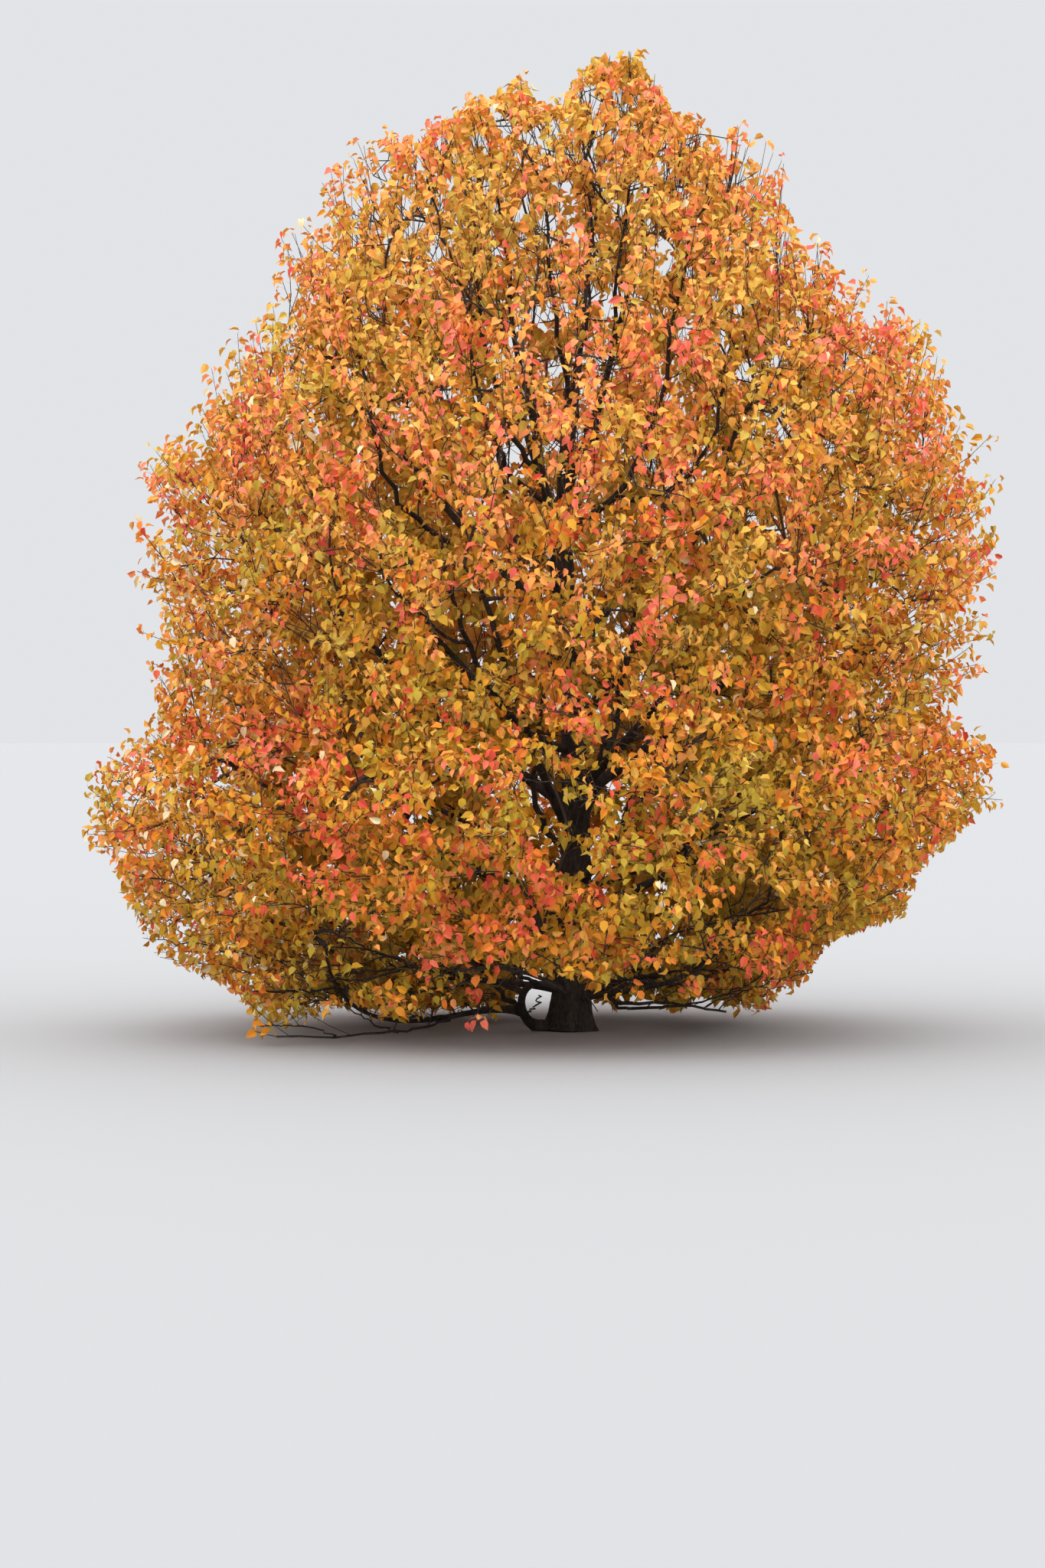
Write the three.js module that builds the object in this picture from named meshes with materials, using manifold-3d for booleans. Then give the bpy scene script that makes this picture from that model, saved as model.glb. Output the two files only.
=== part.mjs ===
// A pear tree in autumn leaf, 4.8 m tall and 4.3 m wide, rooted in level ground.
// Lengths are millimetres, +Z is up, and the origin is the middle of the flat cut under the trunk.
// +X is to the right of the photographed side, which faces -Y.
import * as THREE from 'three';
import { mergeVertices } from 'three/addons/utils/BufferGeometryUtils.js';
import Module from 'manifold-3d';

const wasm = await Module();
wasm.setup();

// Driving sizes of the tree
const TREE_HEIGHT = 4800;
const TRUNK_HEIGHT = 2660; // from the ground to the fork of the leader
const TRUNK_RADIUS = 101; // at knee height, above the root flare
const FORK_RADIUS = 33; // at the fork
const FLARE_RADIUS = 152; // mean radius of the root flare at the ground
const FLARE_LOBE = 20; // how far the root buttresses stand out and in
const FLARE_FADE = 120; // height over which the flare dies away
const FLARE_LOBES = 4; // buttresses round the foot
const FLARE_TURN = 0.6;
const TRUNK_TAPER = 0.8;
const TRUNK_SWAY = { x: 30, y: 18 }; // sideways swing of the trunk in its long bends
const SWAY_SPAN = { x: 1800, y: 1300 }; // height of one bend
const SPRAY_LEAF = 570; // one leaf of the solids stands for a spray this long
const JOINT_GAP = 0.3; // clearance where two pieces of wood meet

// The crown's outline, from the ground up: height, reach to the left and reach to the right of its axis
const OUTLINE = [
  { height: 40, left: 1180, right: 700 },
  { height: 180, left: 1520, right: 1060 },
  { height: 320, left: 1860, right: 1240 },
  { height: 480, left: 2070, right: 1560 },
  { height: 680, left: 2150, right: 1740 },
  { height: 960, left: 2300, right: 1920 },
  { height: 1300, left: 2220, right: 1980 },
  { height: 1570, left: 1900, right: 1760 },
  { height: 1850, left: 1950, right: 1910 },
  { height: 2200, left: 2020, right: 2000 },
  { height: 2650, left: 2070, right: 1990 },
  { height: 2900, left: 1820, right: 1900 },
  { height: 3250, left: 1580, right: 1800 },
  { height: 3600, left: 1450, right: 1430 },
  { height: 3900, left: 1400, right: 1080 },
  { height: 4200, left: 1240, right: 980 },
  { height: 4400, left: 920, right: 740 },
  { height: 4600, left: 520, right: 400 },
  { height: 4730, left: 260, right: 240 },
  { height: TREE_HEIGHT, left: 100, right: 100 },
];
const APEX_OFFSET = 170; // the top leans this far to the right
const LEAN_START = 3600; // height from which the crown's axis leans
const UNDERSIDE = 230; // lowest leaf close to the trunk
const UNDERSIDE_REACH = 620; // inside this radius the underside is lifted

// Whorls of boughs, from the ground up. Shares are of the crown's reach at that height.
const TIERS = [
  {
    name: 'skirt', count: 7, turn: 2, leaveLow: 75, leaveHigh: 330, tipShare: 0.5, tipHeight: 250,
    rise: 0.1, centreShare: 0.74, centreHeight: 400, baseRadius: 19, tipRadius: 11,
  },
  {
    name: 'lower', count: 7, turn: 27, leaveLow: 480, leaveHigh: 780, tipShare: 0.52, tipHeight: 1060,
    rise: 0.3, centreShare: 0.72, centreHeight: 1190, baseRadius: 26, tipRadius: 13,
  },
  {
    name: 'middle', count: 6, turn: 8, leaveLow: 880, leaveHigh: 1280, tipShare: 0.53, tipHeight: 1960,
    rise: 0.62, centreShare: 0.7, centreHeight: 2140, baseRadius: 31, tipRadius: 14,
  },
  {
    name: 'upper', count: 5, turn: 38, leaveLow: 1420, leaveHigh: 2020, tipShare: 0.47, tipHeight: 2880,
    rise: 0.85, centreShare: 0.64, centreHeight: 3100, baseRadius: 28, tipRadius: 13,
  },
  {
    name: 'top', count: 3, turn: 75, leaveLow: 2380, leaveHigh: TRUNK_HEIGHT - 20, tipShare: 0.26,
    tipHeight: 3640, rise: 1.5, centreShare: 0.38, centreHeight: 4060, baseRadius: 25, tipRadius: 12,
  },
];
const WANDER = 9; // degrees that a bough may stray from its even place round the trunk
const LOW_LIMB = 4; // skirt bough that leaves the basal stem and sweeps out low on the left
const BASAL_STEM = 5; // skirt bough that leaves the foot of the trunk
const BASAL_RADIUS = 29;

// Twigs and leaves
const OUTER_TIPS = 78; // twig tips spread over the crown's surface
const INNER_TIPS = 14; // and over a smaller crown inside it
const RIM_TIPS = 13; // and up each edge of its outline
const TIP_INSET = 400; // how far the outer tips stay inside the outline
const INSET_LOW = 0.8;
const INSET_HIGH = 1.2;
const TOP_INSET = 380;
const LOWEST_TIP = 130;
const INNER_SHARE = 0.6;
const CELL_MARGIN = 6; // each mass keeps this far from the plane it shares with its neighbour
const LIMB_CLEARANCE = 7;
const DETOUR_COST = 0.35; // how much a twig minds a long way back to the stem
const LIFT = 0.2; // how far a twig's bend is lifted, as a share of its length
const TIP_PULL = 0.12; // a tip outside its mass's space is pulled in by this share, at most TIP_PULLS times
const TIP_PULLS = 6;
const TIP_MARGIN = 40;
const STEM_RISE = 60; // a stem ends this far above the middle of its mass
const TWIG_RADIUS = 12;
const TWIG_TIP_RADIUS = 7;
const TWIG_NECK = 0.48; // a twig's root is this share of its parent's radius, so it stays inside it
const LEAF_WIDTH = 0.76; // shares of a leaf's length
const LEAF_THICKNESS = 0.034;
const LEAF_BELLY = 0.42; // where the blade is widest
const ROOT_SINK = 3;
const SHORTEST_TWIG = 90;
const LEAF_SHARES = [0.98, 0.82, 0.64, 0.44]; // where each leaf leaves its twig
const LEAF_TRIES = 48;
const LEAF_PATIENCE = 0.985; // each try puts up with a shorter leaf than the one before
const END_SPLAY = 0.2; // how far a leaf turns away from its twig
const END_STRAY = 0.03; // and how much further an end leaf turns with each try
const SIDE_SPLAY = 1.15;
const SPLAY_SPREAD = 0.3;
const SIZE_SPREAD = 0.15;
const LEAF_TILT = 0.3;
const ROOM_STEPS = 12;
const GROUND_CLEARANCE = 12;
const SMOOTHING = 0.05; // cuts shallower than this are smoothed out where twigs and leaves join
const SEED = 11;
const MASS_SEED = 111;

const GOLDEN_ANGLE = Math.PI * (3 - Math.sqrt(5));
const GOLDEN_SHARE = (Math.sqrt(5) - 1) / 2;
const UP = new THREE.Vector3(0, 0, 1);
const BARK = { color: 0x3b3129, roughness: 0.9 };
const LEAF_TINTS = [0xd98a2b, 0xd9702f, 0xc9912a, 0xdc6238, 0xcf7d2a];

const lerp = THREE.MathUtils.lerp;
const point = (x, y, z) => new THREE.Vector3(x, y, z);

// The nth number, from 0 to 1, of the run that a seed starts
function chance(seed, n) {
  let t = (Math.imul(seed, 0x9e3779b1) + Math.imul(n, 0x6d2b79f5)) | 0;
  t = Math.imul(t ^ (t >>> 15), t | 1);
  t ^= t + Math.imul(t ^ (t >>> 7), t | 61);
  return ((t ^ (t >>> 14)) >>> 0) / 4294967296;
}

// The crown

const crownAxis = (height) =>
  APEX_OFFSET * THREE.MathUtils.clamp((height - LEAN_START) / (TREE_HEIGHT - LEAN_START), 0, 1);

// Reach of the crown at a height and azimuth. The hidden front and back take the mean of left and right.
function crownReach(height, azimuth) {
  const z = THREE.MathUtils.clamp(height, OUTLINE[0].height, TREE_HEIGHT);
  const above = Math.max(1, OUTLINE.findIndex((level) => level.height >= z));
  const low = OUTLINE[above - 1];
  const high = OUTLINE[above];
  const share = (z - low.height) / (high.height - low.height);
  const left = lerp(low.left, high.left, share);
  const right = lerp(low.right, high.right, share);
  const side = Math.cos(azimuth);
  const toRight = side > 0 ? side * side : 0;
  const toLeft = side < 0 ? side * side : 0;
  return right * toRight + left * toLeft + ((left + right) / 2) * (1 - side * side);
}

function crownPoint(height, azimuth, share, inset = 0) {
  const reach = crownReach(height, azimuth) * share - inset;
  return point(crownAxis(height) + reach * Math.cos(azimuth), reach * Math.sin(azimuth), height);
}

function insideCrown(p) {
  const x = p.x - crownAxis(p.z);
  const radius = Math.hypot(x, p.y);
  const lowest = radius < UNDERSIDE_REACH ? UNDERSIDE : GROUND_CLEARANCE;
  return p.z > lowest && p.z < TREE_HEIGHT && radius < crownReach(p.z, Math.atan2(p.y, x));
}

// Heights of a number of points spread evenly over the crown's surface
function evenHeights(count) {
  const bands = OUTLINE.slice(1).map((high, i) => {
    const low = OUTLINE[i];
    const reach = (low.left + low.right + high.left + high.right) / 4;
    const slant = Math.hypot(high.height - low.height, (high.left + high.right - low.left - low.right) / 2);
    return { low: low.height, high: high.height, area: reach * slant };
  });
  const total = bands.reduce((sum, band) => sum + band.area, 0);
  return Array.from({ length: count }, (_, i) => {
    let area = ((i + 0.5) / count) * total;
    const band = bands.find((b) => (area -= b.area) <= 0) ?? bands.at(-1);
    return lerp(band.low, band.high, (area + band.area) / band.area);
  });
}

// Solids

// A closed round limb: a cylinder laid along a curve, with a radius that varies along and round it
function limbGeometry(curve, radiusAt, sides, steps) {
  const geometry = new THREE.CylinderGeometry(1, 1, 1, sides, steps);
  const places = geometry.getAttribute('position');
  const frames = Array.from({ length: steps + 1 }, (_, i) => {
    const share = i / steps;
    const along = curve.getTangent(share).normalize();
    const flat = Math.abs(along.z) > 0.9 ? point(0, 1, 0) : UP;
    const across = new THREE.Vector3().crossVectors(flat, along).normalize();
    const upward = new THREE.Vector3().crossVectors(along, across);
    return { share, at: curve.getPoint(share), across, upward };
  });
  const place = new THREE.Vector3();
  for (let i = 0; i < places.count; i += 1) {
    place.fromBufferAttribute(places, i);
    const frame = frames[Math.round((place.y + 0.5) * steps)];
    const angle = Math.atan2(place.z, place.x);
    const onAxis = Math.hypot(place.x, place.z) < 1e-6;
    const radius = onAxis ? 0 : radiusAt(frame.share, angle);
    place
      .copy(frame.at)
      .addScaledVector(frame.upward, radius * Math.cos(angle))
      .addScaledVector(frame.across, radius * Math.sin(angle));
    places.setXYZ(i, place.x, place.y, place.z);
  }
  return geometry;
}

// An eight-faced leaf: an octahedron drawn out into an ovate blade, its root just past the twig's axis
function leafAt(root, heading, facing, length) {
  const across = new THREE.Vector3().crossVectors(facing, heading).normalize();
  const face = new THREE.Vector3().crossVectors(heading, across);
  const geometry = new THREE.OctahedronGeometry(1, 0);
  const places = geometry.getAttribute('position');
  const placeAt = (x, y, z) =>
    root
      .clone()
      .addScaledVector(heading, x < 0 ? -ROOT_SINK : length * (x > 0 ? 1 : LEAF_BELLY))
      .addScaledVector(across, (y * length * LEAF_WIDTH) / 2)
      .addScaledVector(face, (z * length * LEAF_THICKNESS) / 2);
  for (let i = 0; i < places.count; i += 1) {
    const place = placeAt(places.getX(i), places.getY(i), places.getZ(i));
    places.setXYZ(i, place.x, place.y, place.z);
  }
  return { geometry, corners: [placeAt(1, 0, 0), placeAt(0, 1, 0), placeAt(0, -1, 0)] };
}

function solidOf(geometry) {
  const bare = new THREE.BufferGeometry().setAttribute('position', geometry.getAttribute('position'));
  if (geometry.index) bare.setIndex(geometry.index);
  const merged = mergeVertices(bare, 1e-3);
  return new wasm.Manifold(
    new wasm.Mesh({
      numProp: 3,
      vertProperties: merged.getAttribute('position').array,
      triVerts: new Uint32Array(merged.index.array),
    }),
  );
}

// The largest body of a solid: loose scraps and sealed hollows are left behind
function mainBody(solid) {
  const bodies = solid.decompose();
  return bodies.reduce((best, body) => (body.volume() > best.volume() ? body : best));
}

function meshOf(name, solid, finish) {
  const { numProp, numVert, vertProperties, triVerts } = solid.getMesh();
  const places = new Float32Array(numVert * 3);
  for (let i = 0; i < numVert; i += 1) {
    places.set(vertProperties.subarray(i * numProp, i * numProp + 3), i * 3);
  }
  const geometry = new THREE.BufferGeometry()
    .setAttribute('position', new THREE.BufferAttribute(places, 3))
    .setIndex(new THREE.BufferAttribute(triVerts, 1));
  geometry.computeVertexNormals();
  const material = new THREE.MeshStandardMaterial({ metalness: 0, ...finish });
  const mesh = new THREE.Mesh(geometry, material);
  mesh.name = name;
  return mesh;
}

// The trunk

const TRUNK_SIDES = 16;
const TRUNK_STEPS = 11;
const STEP_POWER = 1.7; // steps are closer together in the root flare

const trunkAxis = (height) =>
  point(
    TRUNK_SWAY.x * Math.sin((Math.PI * height) / SWAY_SPAN.x),
    TRUNK_SWAY.y * Math.sin((Math.PI * height) / SWAY_SPAN.y),
    height,
  );

const trunkHeight = (share) => TRUNK_HEIGHT * share ** STEP_POWER;

// The trunk's two end faces stay level
class TrunkCurve extends THREE.Curve {
  getPoint(share) {
    return trunkAxis(trunkHeight(share));
  }

  getTangent() {
    return UP.clone();
  }
}

function trunkRadius(height, angle) {
  const stem = lerp(TRUNK_RADIUS, FORK_RADIUS, (height / TRUNK_HEIGHT) ** TRUNK_TAPER);
  const lobe = FLARE_LOBE * Math.cos(FLARE_LOBES * angle + FLARE_TURN);
  return stem + (FLARE_RADIUS - TRUNK_RADIUS + lobe) * Math.exp(-height / FLARE_FADE);
}

function trunkSolid(extra = 0) {
  const radiusAt = (share, angle) => trunkRadius(trunkHeight(share), angle) + extra;
  return solidOf(limbGeometry(new TrunkCurve(), radiusAt, TRUNK_SIDES, TRUNK_STEPS));
}

// The boughs

const BOUGH_SIDES = 6;
const BOUGH_STEPS = 5;
const BEND_SHARE = 0.55; // how far out a bough's bend is
const BOUGH_TAPER = 0.8;

// The basal stem leaves the root flare at the ground, swings out to the left and climbs forwards
const basalCurve = (tip) =>
  new THREE.CubicBezierCurve3(point(-95, -20, 42), point(-330, -60, 60), point(-260, -330, 330), tip);

// The low limb leaves the basal stem and runs out to the left, close to the ground
const lowCurve = () =>
  new THREE.CubicBezierCurve3(
    point(-220, -84, 98),
    point(-420, -100, 140),
    point(-600, -190, 50),
    point(-800, -270, 66),
  );

function boughPlan(tier, level, i) {
  const stray = (chance(SEED + level, i) - 0.5) * 2 * WANDER;
  const azimuth = THREE.MathUtils.degToRad(tier.turn + (360 / tier.count) * i + stray);
  const leave = lerp(tier.leaveLow, tier.leaveHigh, ((i + 1) * GOLDEN_SHARE) % 1);
  const outward = point(Math.cos(azimuth), Math.sin(azimuth), 0);
  const start = trunkAxis(leave);
  const tip = crownPoint(tier.tipHeight, azimuth, tier.tipShare);
  const run = BEND_SHARE * Math.hypot(tip.x - start.x, tip.y - start.y);
  const bend = start.clone().addScaledVector(outward, run).addScaledVector(UP, run * tier.rise);
  return {
    name: `${tier.name}_bough_${i + 1}`,
    massName: `${tier.name}_foliage_${i + 1}`,
    curve: new THREE.QuadraticBezierCurve3(start, bend, tip),
    centre: crownPoint(tier.centreHeight, azimuth, tier.centreShare),
    baseRadius: tier.baseRadius,
    tipRadius: tier.tipRadius,
  };
}

function boughPlans() {
  const plans = TIERS.flatMap((tier, level) =>
    Array.from({ length: tier.count }, (_, i) => boughPlan(tier, level, i)),
  );
  const basal = plans[BASAL_STEM];
  basal.curve = basalCurve(basal.curve.getPoint(1));
  basal.baseRadius = BASAL_RADIUS;
  plans[LOW_LIMB].curve = lowCurve();
  for (const plan of plans) plan.stem = stemCurve(plan);
  return plans;
}

function boughSolid(plan, extra = 0) {
  const radiusAt = (share) => lerp(plan.baseRadius, plan.tipRadius, share ** BOUGH_TAPER) + extra;
  return solidOf(limbGeometry(plan.curve, radiusAt, BOUGH_SIDES, BOUGH_STEPS));
}

// Each bough is cut clear of the trunk and of the boughs before it, the basal stem first
function boughSolids(plans) {
  const basal = plans[BASAL_STEM];
  const cutters = [trunkSolid(JOINT_GAP)];
  return [basal, ...plans.filter((plan) => plan !== basal)].map((plan) => {
    const whole = cutters.reduce((rest, cutter) => rest.subtract(cutter), boughSolid(plan));
    cutters.push(boughSolid(plan, JOINT_GAP));
    return { name: plan.name, solid: mainBody(whole) };
  });
}

// The masses of foliage

const STEM_SIDES = 4;
const STEM_STEPS = 3;
const TWIG_SIDES = 3;
const TWIG_STEPS = 2;
const STEM_FORKS = [0.3, 0.5, 0.7, 0.85, 1]; // where twigs can leave a stem

// A mass keeps to the points that are nearer its own centre than any other, by a margin
function spaceOf(plan, otherPlans) {
  const walls = otherPlans.map((other) => {
    const normal = new THREE.Vector3().subVectors(other.centre, plan.centre);
    const half = normal.length() / 2;
    normal.normalize();
    return { normal, limit: normal.dot(plan.centre) + half - CELL_MARGIN };
  });
  return (p, margin) =>
    p.z > GROUND_CLEARANCE + margin && walls.every((wall) => wall.normal.dot(p) < wall.limit - margin);
}

// Twig tips over the whole crown, dealt to the mass whose centre is nearest
function dealTips(plans) {
  const tips = new Map(plans.map((plan) => [plan, []]));
  const deal = (height, azimuth, share, inset) => {
    const level = THREE.MathUtils.clamp(height, LOWEST_TIP, TREE_HEIGHT - TOP_INSET);
    const tip = crownPoint(level, azimuth, share, inset);
    const nearest = plans.reduce((best, plan) =>
      tip.distanceTo(plan.centre) < tip.distanceTo(best.centre) ? plan : best,
    );
    tips.get(nearest).push(tip);
  };
  // Both edges of the photographed outline carry a run of tips of their own
  for (let i = 0; i < RIM_TIPS; i += 1) {
    const height = lerp(OUTLINE[1].height, TREE_HEIGHT, (i + 0.5) / RIM_TIPS);
    deal(height, 0, 1, TIP_INSET);
    deal(height, Math.PI, 1, TIP_INSET);
  }
  evenHeights(OUTER_TIPS).forEach((height, i) =>
    deal(height, i * GOLDEN_ANGLE, 1, TIP_INSET * lerp(INSET_LOW, INSET_HIGH, chance(SEED, i))),
  );
  evenHeights(INNER_TIPS).forEach((height, i) => deal(height, i * GOLDEN_ANGLE + 1, INNER_SHARE, 0));
  return tips;
}

// The stem of a mass runs on from the tip of its bough and turns up to the middle of the mass
function stemCurve(plan) {
  const direction = plan.curve.getTangent(1).normalize();
  const start = plan.curve.getPoint(1).addScaledVector(direction, JOINT_GAP);
  const end = plan.centre.clone().addScaledVector(UP, STEM_RISE);
  const bend = start.clone().addScaledVector(direction, start.distanceTo(end) * 0.5);
  return new THREE.QuadraticBezierCurve3(start, bend, end);
}

function stemSolid(plan, extra = 0) {
  const radiusAt = (share) => lerp(plan.tipRadius, TWIG_RADIUS, share) + extra;
  return solidOf(limbGeometry(plan.stem, radiusAt, STEM_SIDES, STEM_STEPS));
}

const touches = (solid, others) => others.some((other) => !other.intersect(solid).isEmpty());

// A twig from a fork to a tip, bowed upwards, with a neck that stays inside its parent
function twigBetween(fork, tip) {
  const bend = fork.at.clone().lerp(tip, 0.5).addScaledVector(UP, fork.at.distanceTo(tip) * LIFT);
  const curve = new THREE.QuadraticBezierCurve3(fork.at, bend, tip);
  const radiusAt = (share) =>
    share === 0 ? fork.radius * TWIG_NECK : lerp(TWIG_RADIUS, TWIG_TIP_RADIUS, share);
  return { curve, bend, radiusAt, solid: solidOf(limbGeometry(curve, radiusAt, TWIG_SIDES, TWIG_STEPS)) };
}

// A twig to each tip, from the part already grown that gives the shortest way there
function growTwigs(plan, tips, inSpace, limbs) {
  const start = plan.stem.getPoint(0);
  const forks = STEM_FORKS.map((share) => ({
    at: plan.stem.getPoint(share),
    back: plan.stem.getLength() * share,
    radius: TWIG_RADIUS,
  }));
  const twigs = [];
  const order = [...tips].sort((a, b) => a.distanceTo(start) - b.distanceTo(start));
  for (const wanted of order) {
    const tip = wanted.clone();
    for (let pull = 0; pull < TIP_PULLS && !inSpace(tip, TIP_MARGIN); pull += 1) {
      tip.lerp(plan.centre, TIP_PULL);
    }
    const wayTo = (fork) => fork.at.distanceTo(tip) + DETOUR_COST * fork.back;
    for (const fork of [...forks].sort((a, b) => wayTo(a) - wayTo(b))) {
      const twig = twigBetween(fork, tip);
      const length = fork.at.distanceTo(tip);
      const held = length > SHORTEST_TWIG && [fork.at, twig.bend, tip].every((p) => inSpace(p, TWIG_RADIUS));
      if (!held || touches(twig.solid, limbs)) continue;
      twigs.push(twig);
      forks.push({ at: twig.curve.getPoint(0.5), back: fork.back + length / 2, radius: twig.radiusAt(0.5) });
      break;
    }
  }
  return twigs;
}

// How far a leaf can run before it leaves its open space
function roomAlong(root, heading, most, open) {
  const place = (step) => root.clone().addScaledVector(heading, (most * step) / ROOM_STEPS);
  let step = 0;
  while (step < ROOM_STEPS && open(place(step + 1))) step += 1;
  return (most * step) / ROOM_STEPS;
}

// A leaf on at the end of each twig and more round it, turned until they find room
function growLeaves(twigs, stem, inSpace, limbs, seed) {
  const open = (p) => inSpace(p, 0) && insideCrown(p);
  let draw = 0;
  const spread = (size) => size * (2 * chance(seed, (draw += 1)) - 1);
  const leaves = [];
  for (const twig of twigs) {
    const others = [stem, ...twigs.filter((other) => other !== twig).map((other) => other.solid)];
    LEAF_SHARES.forEach((share, i) => {
      const root = twig.curve.getPoint(share);
      const along = twig.curve.getTangent(share).normalize();
      const across = new THREE.Vector3().crossVectors(along, UP).normalize();
      const upward = new THREE.Vector3().crossVectors(across, along);
      const turned = (from, to, angle) =>
        from.clone().multiplyScalar(Math.cos(angle)).addScaledVector(to, Math.sin(angle));
      const turn = spread(Math.PI);
      const size = SPRAY_LEAF * (1 + spread(SIZE_SPREAD));
      for (let attempt = 0; attempt < LEAF_TRIES; attempt += 1) {
        const aside = turned(across, upward, turn + attempt * GOLDEN_ANGLE);
        const splay = (i === 0 ? END_SPLAY + attempt * END_STRAY : SIDE_SPLAY) * (1 + spread(SPLAY_SPREAD));
        const heading = turned(along, aside, splay);
        const facing = (i === 0 ? aside : along).clone().addScaledVector(UP, LEAF_TILT);
        const length = roomAlong(root, heading, size, open);
        if (length < size * LEAF_PATIENCE ** attempt) continue;
        const leaf = leafAt(root, heading, facing, length);
        if (!leaf.corners.every(open)) continue;
        const solid = solidOf(leaf.geometry);
        if ([limbs, others, leaves].some((solids) => touches(solid, solids))) continue;
        leaves.push(solid);
        break;
      }
    });
  }
  return leaves;
}

function massSolid(plan, tips, inSpace, limbs, seed) {
  const stem = stemSolid(plan);
  const twigs = growTwigs(plan, tips, inSpace, limbs);
  const leaves = growLeaves(twigs, stem, inSpace, limbs, seed);
  const parts = [...twigs.map((twig) => twig.solid), ...leaves];
  return mainBody(parts.reduce((whole, part) => whole.add(part), stem).simplify(SMOOTHING));
}

// The tree

function pearTree() {
  const tree = new THREE.Group();
  tree.name = 'pear_tree';
  tree.add(meshOf('trunk', trunkSolid(), BARK));

  const plans = boughPlans();
  for (const { name, solid } of boughSolids(plans)) tree.add(meshOf(name, solid, BARK));

  const tips = dealTips(plans);
  const woods = [trunkSolid(LIMB_CLEARANCE), ...plans.map((plan) => boughSolid(plan, LIMB_CLEARANCE))];
  plans.forEach((plan, i) => {
    const otherPlans = plans.filter((other) => other !== plan);
    const limbs = [...woods, ...otherPlans.map((other) => stemSolid(other, LIMB_CLEARANCE))];
    const mass = massSolid(plan, tips.get(plan), spaceOf(plan, otherPlans), limbs, MASS_SEED + i);
    tree.add(meshOf(plan.massName, mass, { color: LEAF_TINTS[i % LEAF_TINTS.length], roughness: 0.55 }));
  });
  return tree;
}

export default pearTree();
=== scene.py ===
from dataclasses import dataclass

import bpy
import numpy as np
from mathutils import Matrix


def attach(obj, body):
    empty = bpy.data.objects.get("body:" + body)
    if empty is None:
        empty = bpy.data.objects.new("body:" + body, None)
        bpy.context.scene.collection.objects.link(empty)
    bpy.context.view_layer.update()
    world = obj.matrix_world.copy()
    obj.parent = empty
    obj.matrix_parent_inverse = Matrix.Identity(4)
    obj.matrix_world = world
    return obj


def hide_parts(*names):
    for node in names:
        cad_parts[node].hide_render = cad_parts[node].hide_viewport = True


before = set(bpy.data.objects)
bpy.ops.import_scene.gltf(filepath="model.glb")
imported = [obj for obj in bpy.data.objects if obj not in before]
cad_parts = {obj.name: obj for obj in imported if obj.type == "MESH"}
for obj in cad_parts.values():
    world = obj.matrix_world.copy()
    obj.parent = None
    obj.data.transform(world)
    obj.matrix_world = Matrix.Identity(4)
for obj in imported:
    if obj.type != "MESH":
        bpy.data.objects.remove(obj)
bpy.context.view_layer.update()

# Driving sizes of the tree, as in the source. Only the root flare is narrower and steeper here
TREE_HEIGHT = 4.8
TRUNK_HEIGHT = 2.66  # from the ground to the fork of the leader
TRUNK_RADIUS = 0.101  # at knee height, above the root flare
FORK_RADIUS = 0.033  # at the fork
FLARE_RADIUS = 0.136  # mean radius of the root flare at the ground
FLARE_LOBE = 0.014  # how far the root buttresses stand out and in
FLARE_FADE = 0.065  # height over which the flare dies away
FLARE_LOBES = 4  # buttresses round the foot
FLARE_TURN = 0.6
TRUNK_TAPER = 0.8
TRUNK_SWAY = (0.030, 0.018)  # sideways swing of the trunk in its long bends
SWAY_SPAN = (1.8, 1.3)  # height of one bend
JOINT_GAP = 0.0003  # between a bough's tip and the stem that runs on from it

# The crown's outline, from the ground up: height, reach to the left and reach to the right of its axis
OUTLINE = np.array(
    [
        (0.04, 1.18, 0.70),
        (0.18, 1.52, 1.06),
        (0.32, 1.86, 1.24),
        (0.48, 2.07, 1.56),
        (0.68, 2.15, 1.74),
        (0.96, 2.30, 1.92),
        (1.30, 2.22, 1.98),
        (1.57, 1.90, 1.76),
        (1.85, 1.95, 1.91),
        (2.20, 2.02, 2.00),
        (2.65, 2.07, 1.99),
        (2.90, 1.82, 1.90),
        (3.25, 1.58, 1.80),
        (3.60, 1.45, 1.43),
        (3.90, 1.40, 1.08),
        (4.20, 1.24, 0.98),
        (4.40, 0.92, 0.74),
        (4.60, 0.52, 0.40),
        (4.73, 0.26, 0.24),
        (TREE_HEIGHT, 0.10, 0.10),
    ]
)
APEX_OFFSET = 0.17  # how far to the right of the trunk the top of the crown stands
LEAN_START = 3.6  # height from which the crown leans that way


@dataclass
class Tier:
    """A whorl of boughs. Shares are of the crown's reach at that height."""

    name: str
    count: int
    turn: float
    leave_low: float
    leave_high: float
    tip_share: float
    tip_height: float
    rise: float
    centre_share: float
    centre_height: float
    base_radius: float
    tip_radius: float


TIERS = [
    Tier("skirt", 7, 2, 0.075, 0.33, 0.5, 0.25, 0.1, 0.74, 0.4, 0.019, 0.011),
    Tier("lower", 7, 27, 0.48, 0.78, 0.52, 1.06, 0.3, 0.72, 1.19, 0.026, 0.013),
    Tier("middle", 6, 8, 0.88, 1.28, 0.53, 1.96, 0.62, 0.7, 2.14, 0.031, 0.014),
    Tier("upper", 5, 38, 1.42, 2.02, 0.47, 2.88, 0.85, 0.64, 3.1, 0.028, 0.013),
    Tier("top", 3, 75, 2.38, TRUNK_HEIGHT - 0.02, 0.26, 3.64, 1.5, 0.38, 4.06, 0.025, 0.012),
]
WANDER = 9  # degrees that a bough may stray from its even place round the trunk
LOW_LIMB = 4  # skirt bough that leaves the basal stem and sweeps out low on the left
BASAL_STEM = 5  # skirt bough that leaves the foot of the trunk, a little lower than in the source
BASAL_RADIUS = 0.029
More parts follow.
